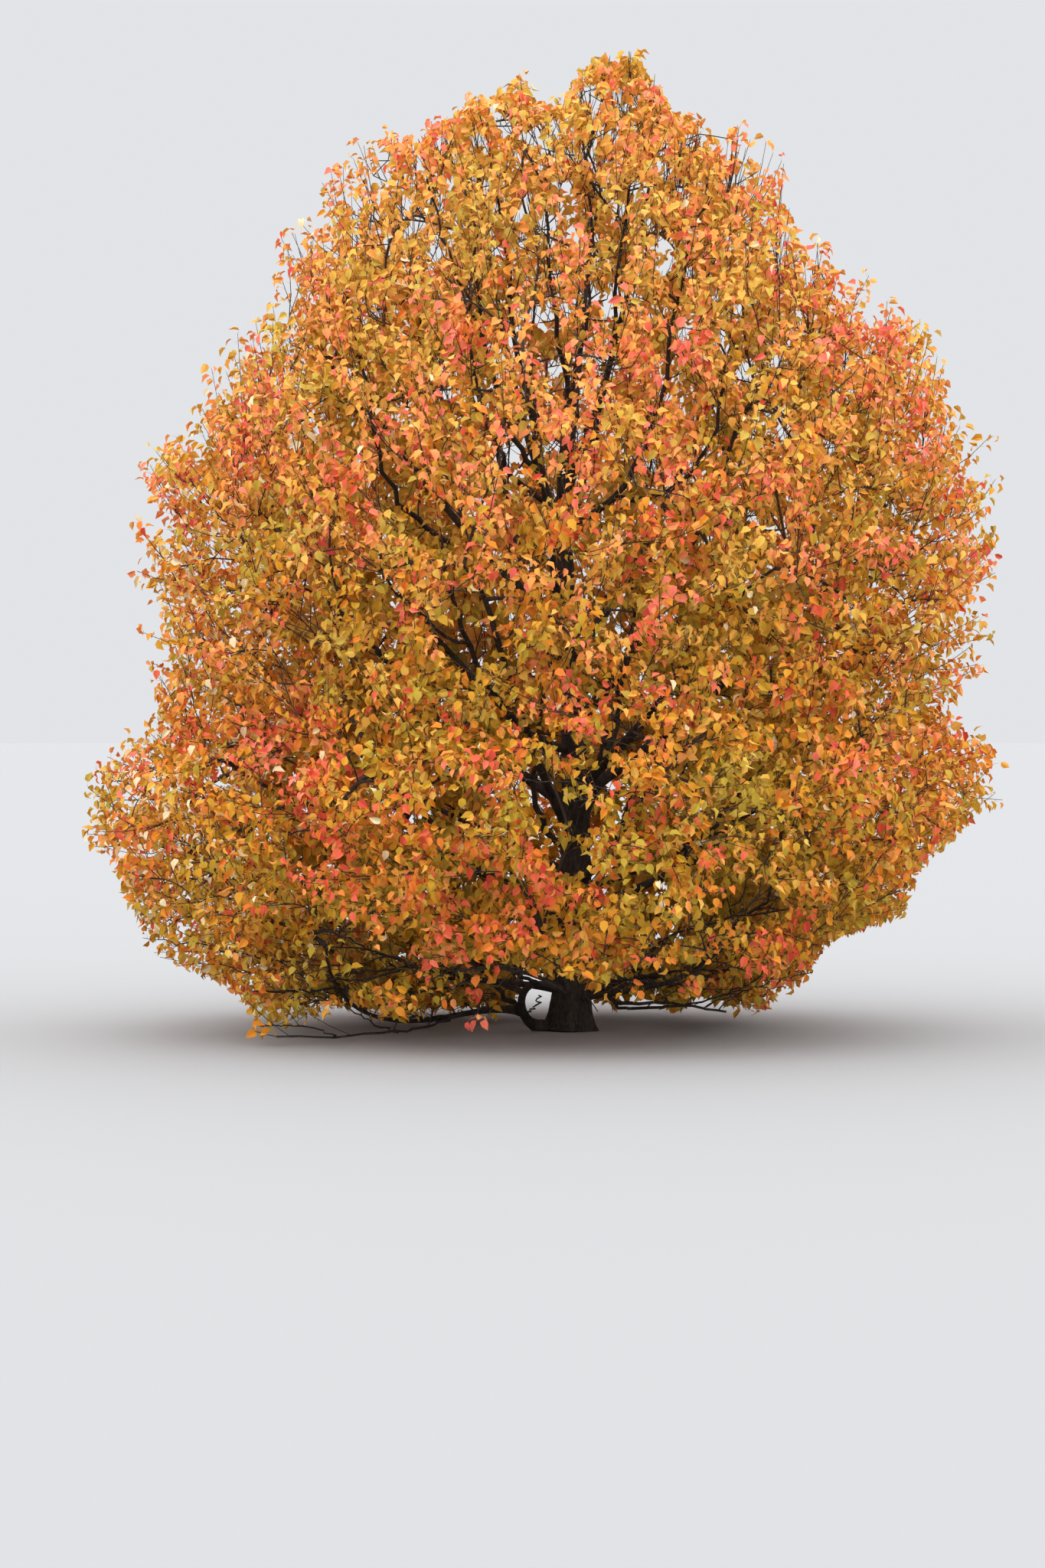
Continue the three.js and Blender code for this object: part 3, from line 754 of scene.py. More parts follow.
# Limbs that the photo shows bare: the radius at the foot, and the places that each one bends towards, where
# they show from the photographed side and how far behind the trunk they are
SEEN_LIMBS = [
    (0.024, (-0.13, -0.08, 2.50), (-0.18, -0.20, 2.84), (-0.21, -0.36, 3.26),
     (-0.31, -0.50, 3.66), (-0.36, -0.56, 4.1)),
    (0.019, (-0.22, -0.16, 2.74), (-0.42, -0.40, 3.00), (-0.44, -0.60, 3.40),
     (-0.44, -0.70, 3.64), (-0.48, -0.74, 3.96)),
    (0.013, (-0.42, -0.52, 3.34), (-0.54, -0.70, 3.60), (-0.61, -0.80, 3.84), (-0.69, -0.82, 4.12)),
    (0.021, (0.10, -0.10, 2.84), (0.21, -0.24, 3.05), (0.20, -0.40, 3.42),
     (0.24, -0.50, 3.80), (0.32, -0.54, 4.20)),
    (0.014, (-0.03, -0.20, 3.00), (-0.04, -0.40, 3.32), (-0.12, -0.56, 3.66),
     (-0.14, -0.60, 4.00), (-0.1, -0.58, 4.30)),
    (0.012, (0.04, -0.26, 3.10), (0.10, -0.46, 3.40), (0.13, -0.56, 3.74),
     (0.08, -0.60, 4.10), (0.10, -0.56, 4.44)),
    (0.018, (0.28, -0.30, 2.50), (0.42, -0.56, 2.83), (0.44, -0.76, 3.10),
     (0.51, -0.84, 3.52), (0.59, -0.84, 3.94)),
    (0.015, (0.50, -0.36, 2.50), (0.69, -0.66, 2.74), (0.81, -0.80, 2.98),
     (0.77, -0.86, 3.24), (0.77, -0.84, 3.62)),
    (0.015, (-0.34, -0.40, 2.56), (-0.43, -0.70, 2.92), (-0.46, -0.86, 3.18), (-0.52, -0.94, 3.58)),
    (0.015, (-0.84, -0.40, 2.38), (-0.96, -0.70, 2.70), (-0.98, -0.86, 3.10), (-1.08, -0.90, 3.60)),
    (0.022, (-0.24, -0.20, 1.36), (-0.41, -0.56, 1.62), (-0.51, -0.80, 1.86),
     (-0.60, -0.96, 2.10), (-0.62, -1.04, 2.40)),
    (0.014, (-0.52, -0.80, 1.86), (-0.67, -0.98, 1.95), (-0.86, -1.10, 2.10), (-1.00, -1.16, 2.34)),
    (0.018, (-0.16, -0.18, 0.90), (-0.20, -0.46, 1.12), (-0.17, -0.70, 1.38),
     (-0.10, -0.84, 1.66), (-0.10, -0.90, 1.96)),
    (0.022, (0.14, -0.18, 1.20), (0.21, -0.44, 1.46), (0.30, -0.66, 1.74),
     (0.34, -0.80, 1.98), (0.31, -0.86, 2.30)),
    (0.019, (0.20, -0.30, 0.09), (0.34, -0.42, 0.15), (0.44, -0.48, 0.145), (0.56, -0.52, 0.12)),
    (0.017, (0.22, -0.30, 0.09), (0.40, -0.40, 0.10), (0.50, -0.44, 0.13),
     (0.64, -0.50, 0.12), (0.76, -0.52, 0.09)),
    (0.013, (0.56, -0.46, 0.12), (0.71, -0.50, 0.15), (0.86, -0.54, 0.20), (0.96, -0.56, 0.31)),
    (0.010, (0.82, -0.54, 0.18), (0.93, -0.56, 0.205), (1.06, -0.58, 0.26), (1.18, -0.60, 0.29)),
    (0.012, (0.20, -0.28, 0.23), (0.34, -0.36, 0.235), (0.51, -0.42, 0.235), (0.66, -0.46, 0.20)),
    (0.009, (0.30, -0.34, 0.27), (0.47, -0.44, 0.29), (0.74, -0.50, 0.29), (0.92, -0.54, 0.30)),
    (0.024, (0.40, -0.40, 0.50), (0.70, -0.70, 0.54), (0.90, -0.84, 0.57),
     (1.00, -0.90, 0.58), (1.24, -0.96, 0.60)),
    (0.016, (0.80, -0.74, 0.60), (0.89, -0.86, 0.78), (1.00, -0.94, 0.96), (1.12, -1.00, 1.10)),
    (0.016, (0.50, -0.50, 0.84), (0.68, -0.80, 0.93), (0.76, -0.94, 1.06), (0.90, -1.04, 1.24)),
    (0.012, (0.66, -0.76, 0.93), (0.82, -0.94, 0.98), (1.04, -1.06, 1.17)),
    (0.024, (-0.30, -0.28, 0.26), (-0.54, -0.44, 0.24), (-0.76, -0.56, 0.31), (-0.92, -0.66, 0.37)),
    (0.019, (-0.86, -0.62, 0.355), (-1.00, -0.72, 0.41), (-1.12, -0.78, 0.47), (-1.36, -0.84, 0.56)),
    (0.012, (-0.94, -0.66, 0.38), (-1.05, -0.72, 0.41), (-1.20, -0.76, 0.405), (-1.34, -0.78, 0.43)),
    (0.011, (-0.92, -0.64, 0.36), (-1.02, -0.70, 0.30), (-1.18, -0.72, 0.295),
     (-1.36, -0.76, 0.32), (-1.66, -0.80, 0.39)),
    (0.010, (-0.80, -0.58, 0.31), (-0.92, -0.62, 0.24), (-1.04, -0.66, 0.215),
     (-1.16, -0.70, 0.25), (-1.28, -0.74, 0.28)),
    (0.008, (-0.78, -0.56, 0.30), (-0.90, -0.60, 0.29), (-1.02, -0.62, 0.29), (-1.14, -0.64, 0.27)),
    (0.008, (-0.52, -0.40, 0.20), (-0.62, -0.46, 0.21), (-0.70, -0.50, 0.19), (-0.86, -0.54, 0.17)),
    (0.007, (-1.04, -0.66, 0.22), (-1.20, -0.70, 0.17), (-1.36, -0.74, 0.195), (-1.52, -0.76, 0.19)),
    (0.012, (-0.42, -0.16, 0.095), (-0.54, -0.24, 0.07), (-0.66, -0.30, 0.055), (-0.82, -0.36, 0.065)),
    (0.011, (-0.60, -0.28, 0.05), (-0.72, -0.46, 0.00), (-0.88, -0.66, -0.02),
     (-1.10, -0.80, -0.03), (-1.42, -0.92, -0.03)),
    (0.008, (-1.10, -0.80, -0.03), (-1.20, -0.84, 0.02), (-1.34, -0.88, 0.04), (-1.50, -0.92, 0.02)),
    (0.008, (-0.84, -0.60, -0.02), (-0.94, -0.66, 0.03), (-1.06, -0.70, 0.10)),
    (0.018, (-0.24, -0.12, 0.12), (-0.31, -0.18, 0.15), (-0.42, -0.30, 0.28), (-0.60, -0.44, 0.46)),
    (0.016, (-0.12, -0.16, 0.20), (-0.17, -0.22, 0.235), (-0.25, -0.28, 0.25), (-0.36, -0.36, 0.36)),
    (0.005, (-0.18, -0.14, 0.10), (-0.15, -0.17, 0.13), (-0.15, -0.20, 0.17)),
]


def standing_wood(boughs, main_twigs):
    """Forks all along the boughs, their stems, the leader and the main twigs."""
    forks = Forks(FORK_ROOM)
    forks.add(trunk_axis(np.linspace(*TRUNK_FORKS)), 0, TRUNK_FORK_RADIUS)
    for bough in boughs:
        shares = np.linspace(*BOUGH_FORKS)
        back = curve_length(bough.curve, MEASURED_FOOT, BOUGH_FORKS[0])
        forks.add_path(bezier(bough.curve, shares), back, bough.radius(shares))
        shares = np.linspace(*MASS_STEM_FORKS)
        back = curve_length(bough.curve, MEASURED_BOUGH)
        forks.add_path(bezier(bough.stem, shares), back, lerp(bough.tip_radius, TWIG_RADIUS, shares))
    shares = np.linspace(*LEADER_FORKS)
    forks.add_path(bezier(leader_curve(), shares), LEADER_BACK, leader_radius(shares))
    shares = np.linspace(*MAIN_TWIG_FORKS)
    for curve, base, tip in zip(main_twigs.curves, main_twigs.base_radii, main_twigs.tip_radii):
        forks.add_path(bezier(curve, shares), MAIN_TWIG_BACK, lerp(base, tip, shares))
    return forks


def grow_seen_limbs(forks, rng):
    """Paths and radii of the limbs that the photo shows, each on from the wood nearest to it."""
    shares = np.linspace(0, 1, SEEN_STEPS)
    paths, radii = [], []
    for foot_radius, *places in SEEN_LIMBS:
        places = [seen_at(*place) for place in places]
        i = forks.ways_to(np.array(places[0]), DROP_COST).argmin()
        path = bezier([forks.at[i], *places], shares)
        path[2:-1] += rng.normal(0, CROOK, (SEEN_STEPS - 3, 3)) * CROOK_WAYS
        foot = min(foot_radius, forks.radius[i] * WOOD_SHARE_OF_PARENT)
        wood = lerp(foot, min(foot * SEEN_TAPER, LIMB_TIP_RADIUS), shares)
        back = forks.back[i] + path_length(path[: SEEN_FORKS_FROM + 1])
        forks.add_path(path[SEEN_FORKS_FROM:], back, wood[SEEN_FORKS_FROM:])
        paths.append(path)
        radii.append(wood)
    return np.array(paths), np.array(radii)


def gathered(groups):
    """Limbs of several groups as one."""
    return Limbs(
        np.concatenate([group.curves for group in groups]),
        np.concatenate([group.base_radii for group in groups]),
        np.concatenate([group.tip_radii for group in groups]),
    )


def outer_halves(paths, radii):
    """The outer half of each path as one curve, through the same middle."""
    first, middle, last = (paths[:, step] for step in SEEN_HALF)
    curves = np.stack([first, 2 * middle - (first + last) / 2, last], axis=1)
    return Limbs(curves, radii[:, SEEN_HALF[0]], radii[:, SEEN_HALF[-1]])


def grow_limbs(tips, forks, base_radius, tip_radius, rng):
    """A limb to each tip, the innermost first, from the wood that gives the shortest way there."""
    curves, base_radii = [], []
    for tip in tips[np.argsort(crown_share(tips))]:
        steep = steepness(tip[2])
        i = forks.ways_to(tip, DROP_COST, LEVEL_COST * steep).argmin()
        start = forks.at[i]
        length = np.linalg.norm(tip - start)
        if length < SHORTEST_TWIG:
            continue
        stray = rng.normal(0, SIDE_STRAY * length, 3) * STRAY_WAYS
        curve = bowed(start, tip, lerp(LIFT, STEEP_LIFT, steep), stray)
        curve[:, 2] = np.maximum(curve[:, 2], LOWEST_WOOD)
        base = min(base_radius * (THICKENING + length), forks.radius[i] * WOOD_SHARE_OF_PARENT)
        base = max(base, tip_radius * LEAST_TAPER)
        shares = np.linspace(FIRST_FORK, 1, max(FEWEST_FORKS, int(length / FORK_STEP)))
        back = forks.back[i] + length * FIRST_FORK
        forks.add_path(bezier(curve, shares), back, lerp(base, tip_radius, shares))
        curves.append(curve)
        base_radii.append(base)
    return Limbs(np.array(curves), np.array(base_radii), np.full(len(curves), tip_radius))


def bared(places, seen_paths, rng):
    """Whether a leaf would hide one of the limbs that the photo shows, and so is left out."""
    found = np.zeros(len(places), bool)
    x, z = as_seen(places)
    low = z < BARE_LOW
    width = np.where(low, *BARE_WIDTHS)
    for path in seen_paths:
        middles = (path[1:] + path[:-1]) / 2
        for at in np.concatenate([path[BARE_STEPS], middles[BARE_STEPS]]):
            at_x, at_z = as_seen(at)
            found |= (np.hypot(x - at_x, z - at_z) < width) & (places[:, 1] < at[1] + BARE_DEPTH)
    return found & (rng.uniform(0, 1, len(places)) < np.where(low, *BARE_SHARES))


def lattice(layer, rng):
    """The tips of a layer, each a little out of place."""
    heights = even_heights(layer.count) + rng.normal(0, HEIGHT_STRAY, layer.count)
    azimuths = np.arange(layer.count) * GOLDEN_ANGLE + layer.turn + rng.normal(0, AZIMUTH_STRAY, layer.count)
    heights = np.maximum(heights, LOWEST_TIP)
    shares = layer.share + rng.normal(0, SHARE_STRAY, layer.count)
    insets = lerp(layer.low_inset, layer.top_inset, steepness(heights)) * layer.share
    tips = crown_point(np.minimum(heights, TREE_HEIGHT - insets), azimuths, shares, insets)
    above, below = seen_margins(tips)
    tips[:, 2] += np.maximum(layer.lower_edge_inset - above, 0)
    tips[:, 2] -= SKYLINE_PRESS * np.maximum(layer.skyline_inset - below, 0)
    return tips[below > layer.skyline_inset * (1 - SKYLINE_PRESS) / 2]


def outward_from(places):
    """The way out of the crown at each place, up at its top and level at its foot."""
    axis, level = crown_axis(places[..., 2]), np.zeros(places.shape[:-1])
    heart = np.stack([axis * HEART_LEAN, level, HEART_RISE * places[..., 2] + HEART_HEIGHT], axis=-1)
    return unit(places - heart)


def grow_shoots(carriers, low_share, rng):
    """Leafy shoots up the sides and at the end of each carrier, bending upwards."""
    rooms = curve_length(carriers.curves, MEASURED_CARRIER) * (1 - low_share) / SHOOT_SPACING
    counts = np.maximum(FEWEST_SIDE_SHOOTS, np.round(rooms)).astype(int) + 1
    owner, number = numbered(counts)
    share = low_share + (1 - low_share) * (number + rng.uniform(0.5, 1, len(owner))) / counts[owner]
    last = number == counts[owner] - 1
    share[last] = END_SHARE
    start, along = part_way(carriers.curves[owner], share)
    twist = rng.normal(0, SHOOT_TWIST, len(owner))
    aside = turned_about(along, owner * CARRIER_TURN + number * GOLDEN_ANGLE + twist)
    out = outward_from(start)
    steep = steepness(start[:, 2:])
    heading = blended((*SIDE_PULLS, lerp(*SIDE_RISES, steep)), along, aside, out, UP)
    heading[last] = blended((*LEADING_PULLS, lerp(*LEADING_RISES, steep)), along, out, UP)[last]
    heading = unit(heading + rng.normal(0, SHOOT_STRAY, heading.shape))
    outer = np.clip(crown_share(start), 0, 1)
    last &= outer > OUTER_SHARE
    length = rng.uniform(*SHOOT_LENGTHS, len(owner)) * lerp(*DEPTH_LENGTHS, outer)
    length = np.where(last, rng.uniform(*LEADING_LENGTHS, len(owner)), length)
    half = length[:, None] / 2
    bend = start + heading * half
    tip = bend + unit(blended((1, lerp(*CURL_RISES, steep), CURL_OUT), heading, UP, out)) * half
    thinned = ~last & (start[:, 2] > TOP_TUFTS_FROM) & (outer > OUTER_SHARE)
    thin = lerp(*TOP_SIDE_SHARES, ramp(start[:, 2], TOP_TUFTS_FROM, TOP_TUFTS_SPAN))
    kept = ~thinned | (rng.uniform(0, 1, len(owner)) < thin)
    curves = np.stack([start, bend, tip], axis=1)[kept]
    return Limbs(curves, np.full(len(curves), SHOOT_RADIUS), np.full(len(curves), SHOOT_TIP_RADIUS))


def fit_shoots(shoots, rng):
    """Shoots that would leave the crown are cut shorter, between its tufts most of all."""
    start = shoots.curves[:, :1]
    hollows = np.clip(TUFT_LEVEL + TUFT_STRENGTH * patchwork(start[:, 0], TUFT_SIZE, rng), 0, 1)
    leading = path_length(shoots.curves) > LEADING_LENGTHS[0] + LEADING_MARGIN
    depth = lerp(*TUFT_DEPTHS, steepness(start[:, 0, 2])) * hollows - LEADING_REACH * leading
    depth += rng.uniform(0, RAGGED_DEPTH, len(depth))
    scale = np.zeros(len(shoots.curves))
    for size in SHOOT_SIZES:
        ends = (start + (shoots.curves - start) * size)[:, 2]
        inside = in_crown(ends, depth) & (ends[:, 2] < TREE_HEIGHT - TOP_ROOM)
        scale = np.where(inside, size, scale)
    curves = start + (shoots.curves - start) * scale[:, None, None]
    return Limbs(curves, shoots.base_radii, shoots.tip_radii).picked(scale > 0)


# Openings of the crown, where the photo shows sky or bare limbs: x, z, radius and how far back they go
THROUGH = 3.0
FRONT = -0.5
DEEP = 0.12
OPENINGS = [
    (-0.28, 2.80, 0.06, THROUGH),
    (-0.07, 2.82, 0.045, THROUGH),
    (0.04, 2.88, 0.045, THROUGH),
    (-0.07, 3.20, 0.05, THROUGH),
    (0.19, 3.22, 0.05, THROUGH),
    (-0.17, 3.46, 0.05, THROUGH),
    (0.10, 3.57, 0.05, THROUGH),
    (-0.11, 3.91, 0.05, THROUGH),
    (-0.65, 3.74, 0.05, THROUGH),
    (-0.60, 3.08, 0.045, THROUGH),
    (0.84, 3.18, 0.06, THROUGH),
    (0.74, 3.30, 0.05, THROUGH),
    (0.58, 3.66, 0.05, THROUGH),
    (-0.49, 1.86, 0.14, FRONT),
    (-1.38, 1.74, 0.09, FRONT),
    (0.26, 1.98, 0.08, FRONT),
    (-0.06, 2.62, 0.07, FRONT),
    (-0.88, 2.62, 0.11, FRONT),
    (-1.28, 1.98, 0.09, FRONT),
    (0.28, 1.42, 0.10, FRONT),
    (-0.02, 1.38, 0.08, DEEP),
    (-0.12, 1.16, 0.11, DEEP),
    (0.06, 1.02, 0.10, DEEP),
    (-0.02, 0.82, 0.09, DEEP),
    (0.16, 1.22, 0.07, DEEP),
    (0.80, 0.60, 0.08, FRONT),
    (0.94, 0.64, 0.08, FRONT),
    (-0.86, 0.40, 0.07, FRONT),
    (-1.02, 0.46, 0.07, FRONT),
]
SKY_GAPS = 150  # small gaps all over the upper crown, through which the sky shows
SKY_GAP_HEIGHTS = (2.4, 4.2, 4.6)  # the lowest, the most frequent and the highest
SKY_GAP_RADII = (0.028, 0.046)
SKY_GAP_TURNS = 5  # and as many again from other sides, in a few level directions
SKY_GAP_REACH = 1.5
EDGE_GAP_REACH = 0.8  # half of the photographed side's gaps lie nearer the middle, close below its skyline
EDGE_GAP_DROP = 0.5
SIDE_OPENINGS = 60
SIDE_OPENING_RADII = (0.06, 0.13)
SIDE_OPENING_AZIMUTHS = (-0.15 * np.pi, 1.15 * np.pi)
SIDE_OPENING_HEIGHTS = (0.6, 4.2)
SIDE_OPENING_SHARES = (0.8, 0.95)
RAGGED_EDGE = (0.75, 1.15)
GAP_STRETCH = (1.3, 0.8)  # gaps are narrower than they are high


def plan_openings(rng):
    """Seeded hollows in the other sides, and small gaps that run right through the upper crown."""
    azimuths = rng.uniform(*SIDE_OPENING_AZIMUTHS, SIDE_OPENINGS)
    heights = rng.uniform(*SIDE_OPENING_HEIGHTS, SIDE_OPENINGS)
    centres = crown_point(heights, azimuths, rng.uniform(*SIDE_OPENING_SHARES, SIDE_OPENINGS))
    hollows = centres, rng.uniform(*SIDE_OPENING_RADII, SIDE_OPENINGS)
    across = rng.uniform(-SKY_GAP_REACH, SKY_GAP_REACH, SKY_GAPS * 2)
    up = rng.triangular(*SKY_GAP_HEIGHTS, SKY_GAPS * 2)
    near_edge = SKY_GAPS // 2
    across[:near_edge] *= EDGE_GAP_REACH
    drops = rng.uniform(0, EDGE_GAP_DROP, near_edge)
    up[:near_edge] = np.interp(across[:near_edge], *SKYLINE.T) - drops
    turns = np.concatenate([np.zeros(SKY_GAPS), rng.integers(1, SKY_GAP_TURNS + 1, SKY_GAPS)])
    gaps = across, up, rng.uniform(*SKY_GAP_RADII, SKY_GAPS * 2), turns * np.pi / (SKY_GAP_TURNS + 1)
    return hollows, gaps


def in_openings(places, openings, rng):
    """Whether a place lies in an opening. The edge of an opening is ragged."""
    ragged = rng.uniform(*RAGGED_EDGE, len(places))
    found = np.zeros(len(places), bool)
    seen_x, seen_z = as_seen(places)
    for x, z, radius, back in OPENINGS:
        found |= (np.hypot(seen_x - x, seen_z - z) < radius * ragged) & (places[:, 1] < back)
    hollows, gaps = openings
    for centre, radius in zip(*hollows):
        found |= np.linalg.norm(places - centre, axis=1) < radius * ragged
    wide, high = GAP_STRETCH
    for across, up, radius, turn in zip(*gaps):
        x = seen_x if turn == 0 else places[:, 0] * np.cos(turn) + places[:, 1] * np.sin(turn)
        z = seen_z if turn == 0 else places[:, 2]
        found |= np.hypot((x - across) * wide, (z - up) * high) < radius * ragged
    return found


# Leaves
LEAF_LENGTHS = (0.038, 0.060)  # of the blades, without their stalks
SHOOT_LEAF_SIZES = (0.85, 1.1)  # the leaves of one shoot are all a little smaller or larger
LEAF_WIDTHS = (0.88, 1.12)
LEAF_RIB = (0.0, 0.46, 1.0)
LEAF_EDGE = ((0.18, 0.30), (0.52, 0.35))  # how far up the rib each corner of the edge is, and how far aside
LEAF_FOLDS = (0.15, 0.95)  # how far each half of the blade is folded up, in radians
LEAF_ARCHES = (0.4, 2.1)  # how far the midrib bends down from base to tip
STALK_LENGTHS = (0.022, 0.045)
STALK_WIDTH = 0.0026
HALF_CORNERS = len(LEAF_RIB) + len(LEAF_EDGE)
LEAF_CORNERS = 2 * HALF_CORNERS + 3
LEAF_FACES = np.array([(0, 3, 1), (3, 4, 1), (4, 2, 1), (5, 6, 8), (8, 6, 9), (9, 6, 7), (10, 11, 12)])

# How leaves stand on their shoots
LEAF_SPACING = 0.0165
FEWEST_PLACES = 4
MOST_LEAVES = 12
FIRST_LEAF = 0.12  # share of the shoot's length
SHOOT_TURN = 2.1
LEAF_TWIST = 0.35
STALK_PULLS = (0.5, 0.9, 0.3, 0.15)  # on along the shoot, aside, up and at random
LEAF_PULLS = (0.75, 0.45, 0.42)  # aside, out of the crown and at random
LEAF_DROOPS = (-0.1, 1.0)
FACING_PULLS = (0.8, 0.4, 0.7)  # up, out of the crown and at random
LEVEL_LEAVES = 0.14  # close above the ground the leaves do not hang
LEVEL_DROOP = -0.15

# Leaves deep in the crown, and most of all behind its middle, are larger and close it
INNER_GROWTH = (1.12, 1.6)
INNER_GROWTH_DEPTH = 0.4
INNER_GROWTH_TOP = 2.8
INNER_GROWTH_FADE = 0.6
INNER_GROWTH_SHARES = (0.6, 0.2)  # from this share of the reach on they are smaller, over this share

# Where leaves are few
LEAF_END_ROOM = 0.03
SPRAY_SIZE = 0.13
SPRAY_GAPS = 0.75  # leaves fall away from the outer layer where the field of sprays is under minus this
SPRAY_GAP_SHARE = 0.84
SPARSE_HEIGHTS = (0.16, 0.62)  # towards the ground the leaves thin out between these heights
SPARSE_SHARE = 0.5
SPARSE_REACH = (-1.3, 1.2)  # from left to right, on the photographed side
FEWEST_LEAVES = 3


@dataclass
class Leaves:
    """Leaves as arrays: where each stalk starts, which way the blade runs and faces, its size, its shoot."""

    root: np.ndarray
    stalk: np.ndarray
    heading: np.ndarray
    facing: np.ndarray
    length: np.ndarray
    shoot: np.ndarray

    def picked(self, mask):
        return Leaves(**{name: values[mask] for name, values in vars(self).items()})


def inner_growth(places):
    """How much larger a leaf is at each place than at the surface of the crown."""
    behind = np.clip(places[:, 1] / INNER_GROWTH_DEPTH + 0.5, 0, 1)
    low = np.clip((INNER_GROWTH_TOP - places[:, 2]) / INNER_GROWTH_FADE, 0, 1)
    return lerp(lerp(*INNER_GROWTH, behind * low), 1, ramp(crown_share(places), *INNER_GROWTH_SHARES))


def grow_leaves(shoots, rng):
    """Leaves up each shoot on spread stalks, hanging outwards with their upper sides to the light."""
    places = np.round(curve_length(shoots.curves, MEASURED_SHOOT) / LEAF_SPACING) + 1
    counts = np.clip(places, FEWEST_PLACES, MOST_LEAVES).astype(int)
    owner, number = numbered(counts)
    root, along = part_way(shoots.curves[owner], lerp(FIRST_LEAF, 1.0, (number + 1) / counts[owner]))
    twist = rng.normal(0, LEAF_TWIST, len(owner))
    aside = turned_about(along, owner * SHOOT_TURN + number * GOLDEN_ANGLE + twist)
    out = outward_from(root)
    stray = rng.normal(0, 1, (3, len(owner), 3))
    stalk = unit(blended(STALK_PULLS, along, aside, UP, stray[0]))
    stalk *= rng.uniform(*STALK_LENGTHS, len(owner))[:, None]
    droop = rng.uniform(*LEAF_DROOPS, len(owner))[:, None]
    sideways, outwards, at_random = LEAF_PULLS
    heading = unit(sideways * aside + outwards * out - droop * UP + at_random * stray[1])
    low = root[:, 2] < LEVEL_LEAVES
    heading[low, 2] = np.maximum(heading[low, 2], LEVEL_DROOP)
    facing = blended(FACING_PULLS, UP, out, stray[2])
    facing = unit(facing - dot(facing, heading) * heading)
    length = rng.uniform(*LEAF_LENGTHS, len(owner)) * rng.uniform(*SHOOT_LEAF_SIZES, len(counts))[owner]
    return Leaves(root, stalk, heading, facing, length * inner_growth(root), owner)


def thin_leaves(leaves, shoots, openings, seen_paths, rng):
    """The leaves that stay: in the crown, outside its openings, and few where the photo shows few."""
    ends = leaves.root + leaves.stalk + leaves.heading * leaves.length[:, None]
    middles = (leaves.root + ends) / 2
    kept = in_crown(ends, -LEADING_REACH - LEAF_END_ROOM)
    kept &= ~in_openings(middles, openings, rng)
    kept &= ~bared(middles, seen_paths, rng)
    tips = shoots.curves[:, 2]
    hollow = (patchwork(tips, SPRAY_SIZE, rng) < -SPRAY_GAPS) & (crown_share(tips) > SPRAY_GAP_SHARE)
    left, right = SPARSE_REACH
    in_front = (tips[:, 0] > left) & (tips[:, 0] < right) & (tips[:, 1] < 0)
    sparse = lerp(SPARSE_SHARE, 1, ramp(tips[:, 2], SPARSE_HEIGHTS[0], np.ptp(SPARSE_HEIGHTS)))
    leafy = ~hollow & (rng.uniform(0, 1, len(tips)) < np.where(in_front, sparse, 1))
    kept &= leafy[leaves.shoot]
    kept &= np.bincount(leaves.shoot[kept], minlength=len(tips))[leaves.shoot] >= FEWEST_LEAVES
    return leaves.picked(kept)


def leaf_corners(leaves, rng):
    """The corners of every leaf: two halves folded up from an arched midrib, and the stalk."""
    count = len(leaves.root)
    across = np.cross(leaves.facing, leaves.heading)
    fold = rng.uniform(*LEAF_FOLDS, count)
    arch = rng.uniform(*LEAF_ARCHES, count)
    width = rng.uniform(*LEAF_WIDTHS, count)
    base = leaves.root + leaves.stalk

    def on_rib(station):
        """A place on the midrib, and the way up from the blade there."""
        angle = (arch * station / 2)[:, None]
        chord = leaves.heading * np.cos(angle) - leaves.facing * np.sin(angle)
        normal = leaves.facing * np.cos(2 * angle) + leaves.heading * np.sin(2 * angle)
        return base + chord * (leaves.length * station)[:, None], normal

    corners = np.empty((count, LEAF_CORNERS, 3))
    rib = np.stack([on_rib(station)[0] for station in LEAF_RIB], axis=1)
    for half, side in enumerate((-1, 1)):
        first = half * HALF_CORNERS
        corners[:, first : first + len(LEAF_RIB)] = rib
        for k, (station, aside) in enumerate(LEAF_EDGE):
            at, normal = on_rib(station)
            spread = side * across * np.cos(fold)[:, None] + normal * np.sin(fold)[:, None]
            corners[:, first + len(LEAF_RIB) + k] = at + spread * (leaves.length * width * aside)[:, None]
    edge = unit(np.cross(leaves.stalk, leaves.facing)) * STALK_WIDTH / 2
    corners[:, 2 * HALF_CORNERS :] = np.stack([leaves.root - edge, leaves.root + edge, base], axis=1)
    corners[..., 2] = np.maximum(corners[..., 2], LOWEST_SURFACE)
    return corners


# Autumn tints, the coolest first: slot of the record, share of all leaves, and the name and colour of the
# blade deep in the crown or low down, and high up. The blade high up is a paler copy of the same tint:
# painted light that stands in for the sky's light on and through the leaves at the top of the crown
TINTS = [
    ("leaf_ochre", 0.215, "olive", "bea036", "straw", "d8b850"),
    ("leaf_ochre", 0.235, "ochre", "cea030", "maize", "e4b44c"),
    ("leaf_gold", 0.21, "gold", "de9e2e", "honey", "f4b252"),
    ("leaf_amber", 0.15, "amber", "e69430", "apricot", "faa856"),
    ("leaf_orange", 0.10, "orange", "ea8436", "salmon", "fc9a60"),
    ("leaf_coral", 0.082, "coral", "e86848", "rose", "f88268"),
    ("leaf_coral", 0.008, "red", "d24c36", "cerise", "e66054"),
]
CREAM = ("leaf_gold", "cream", "f0dcb0")  # a few leaves in plain cream, more of them on the windward side
CREAM_SHARE = 0.008
WINDWARD_CREAM_SHARE = 0.12
WINDWARD_FROM = -1.1
WINDWARD_SPAN = 0.9
BLADES = {name: (slot, colour) for slot, _, *pairs in TINTS for name, colour in zip(pairs[::2], pairs[1::2])}
BLADES[CREAM[1]] = CREAM[0], CREAM[2]
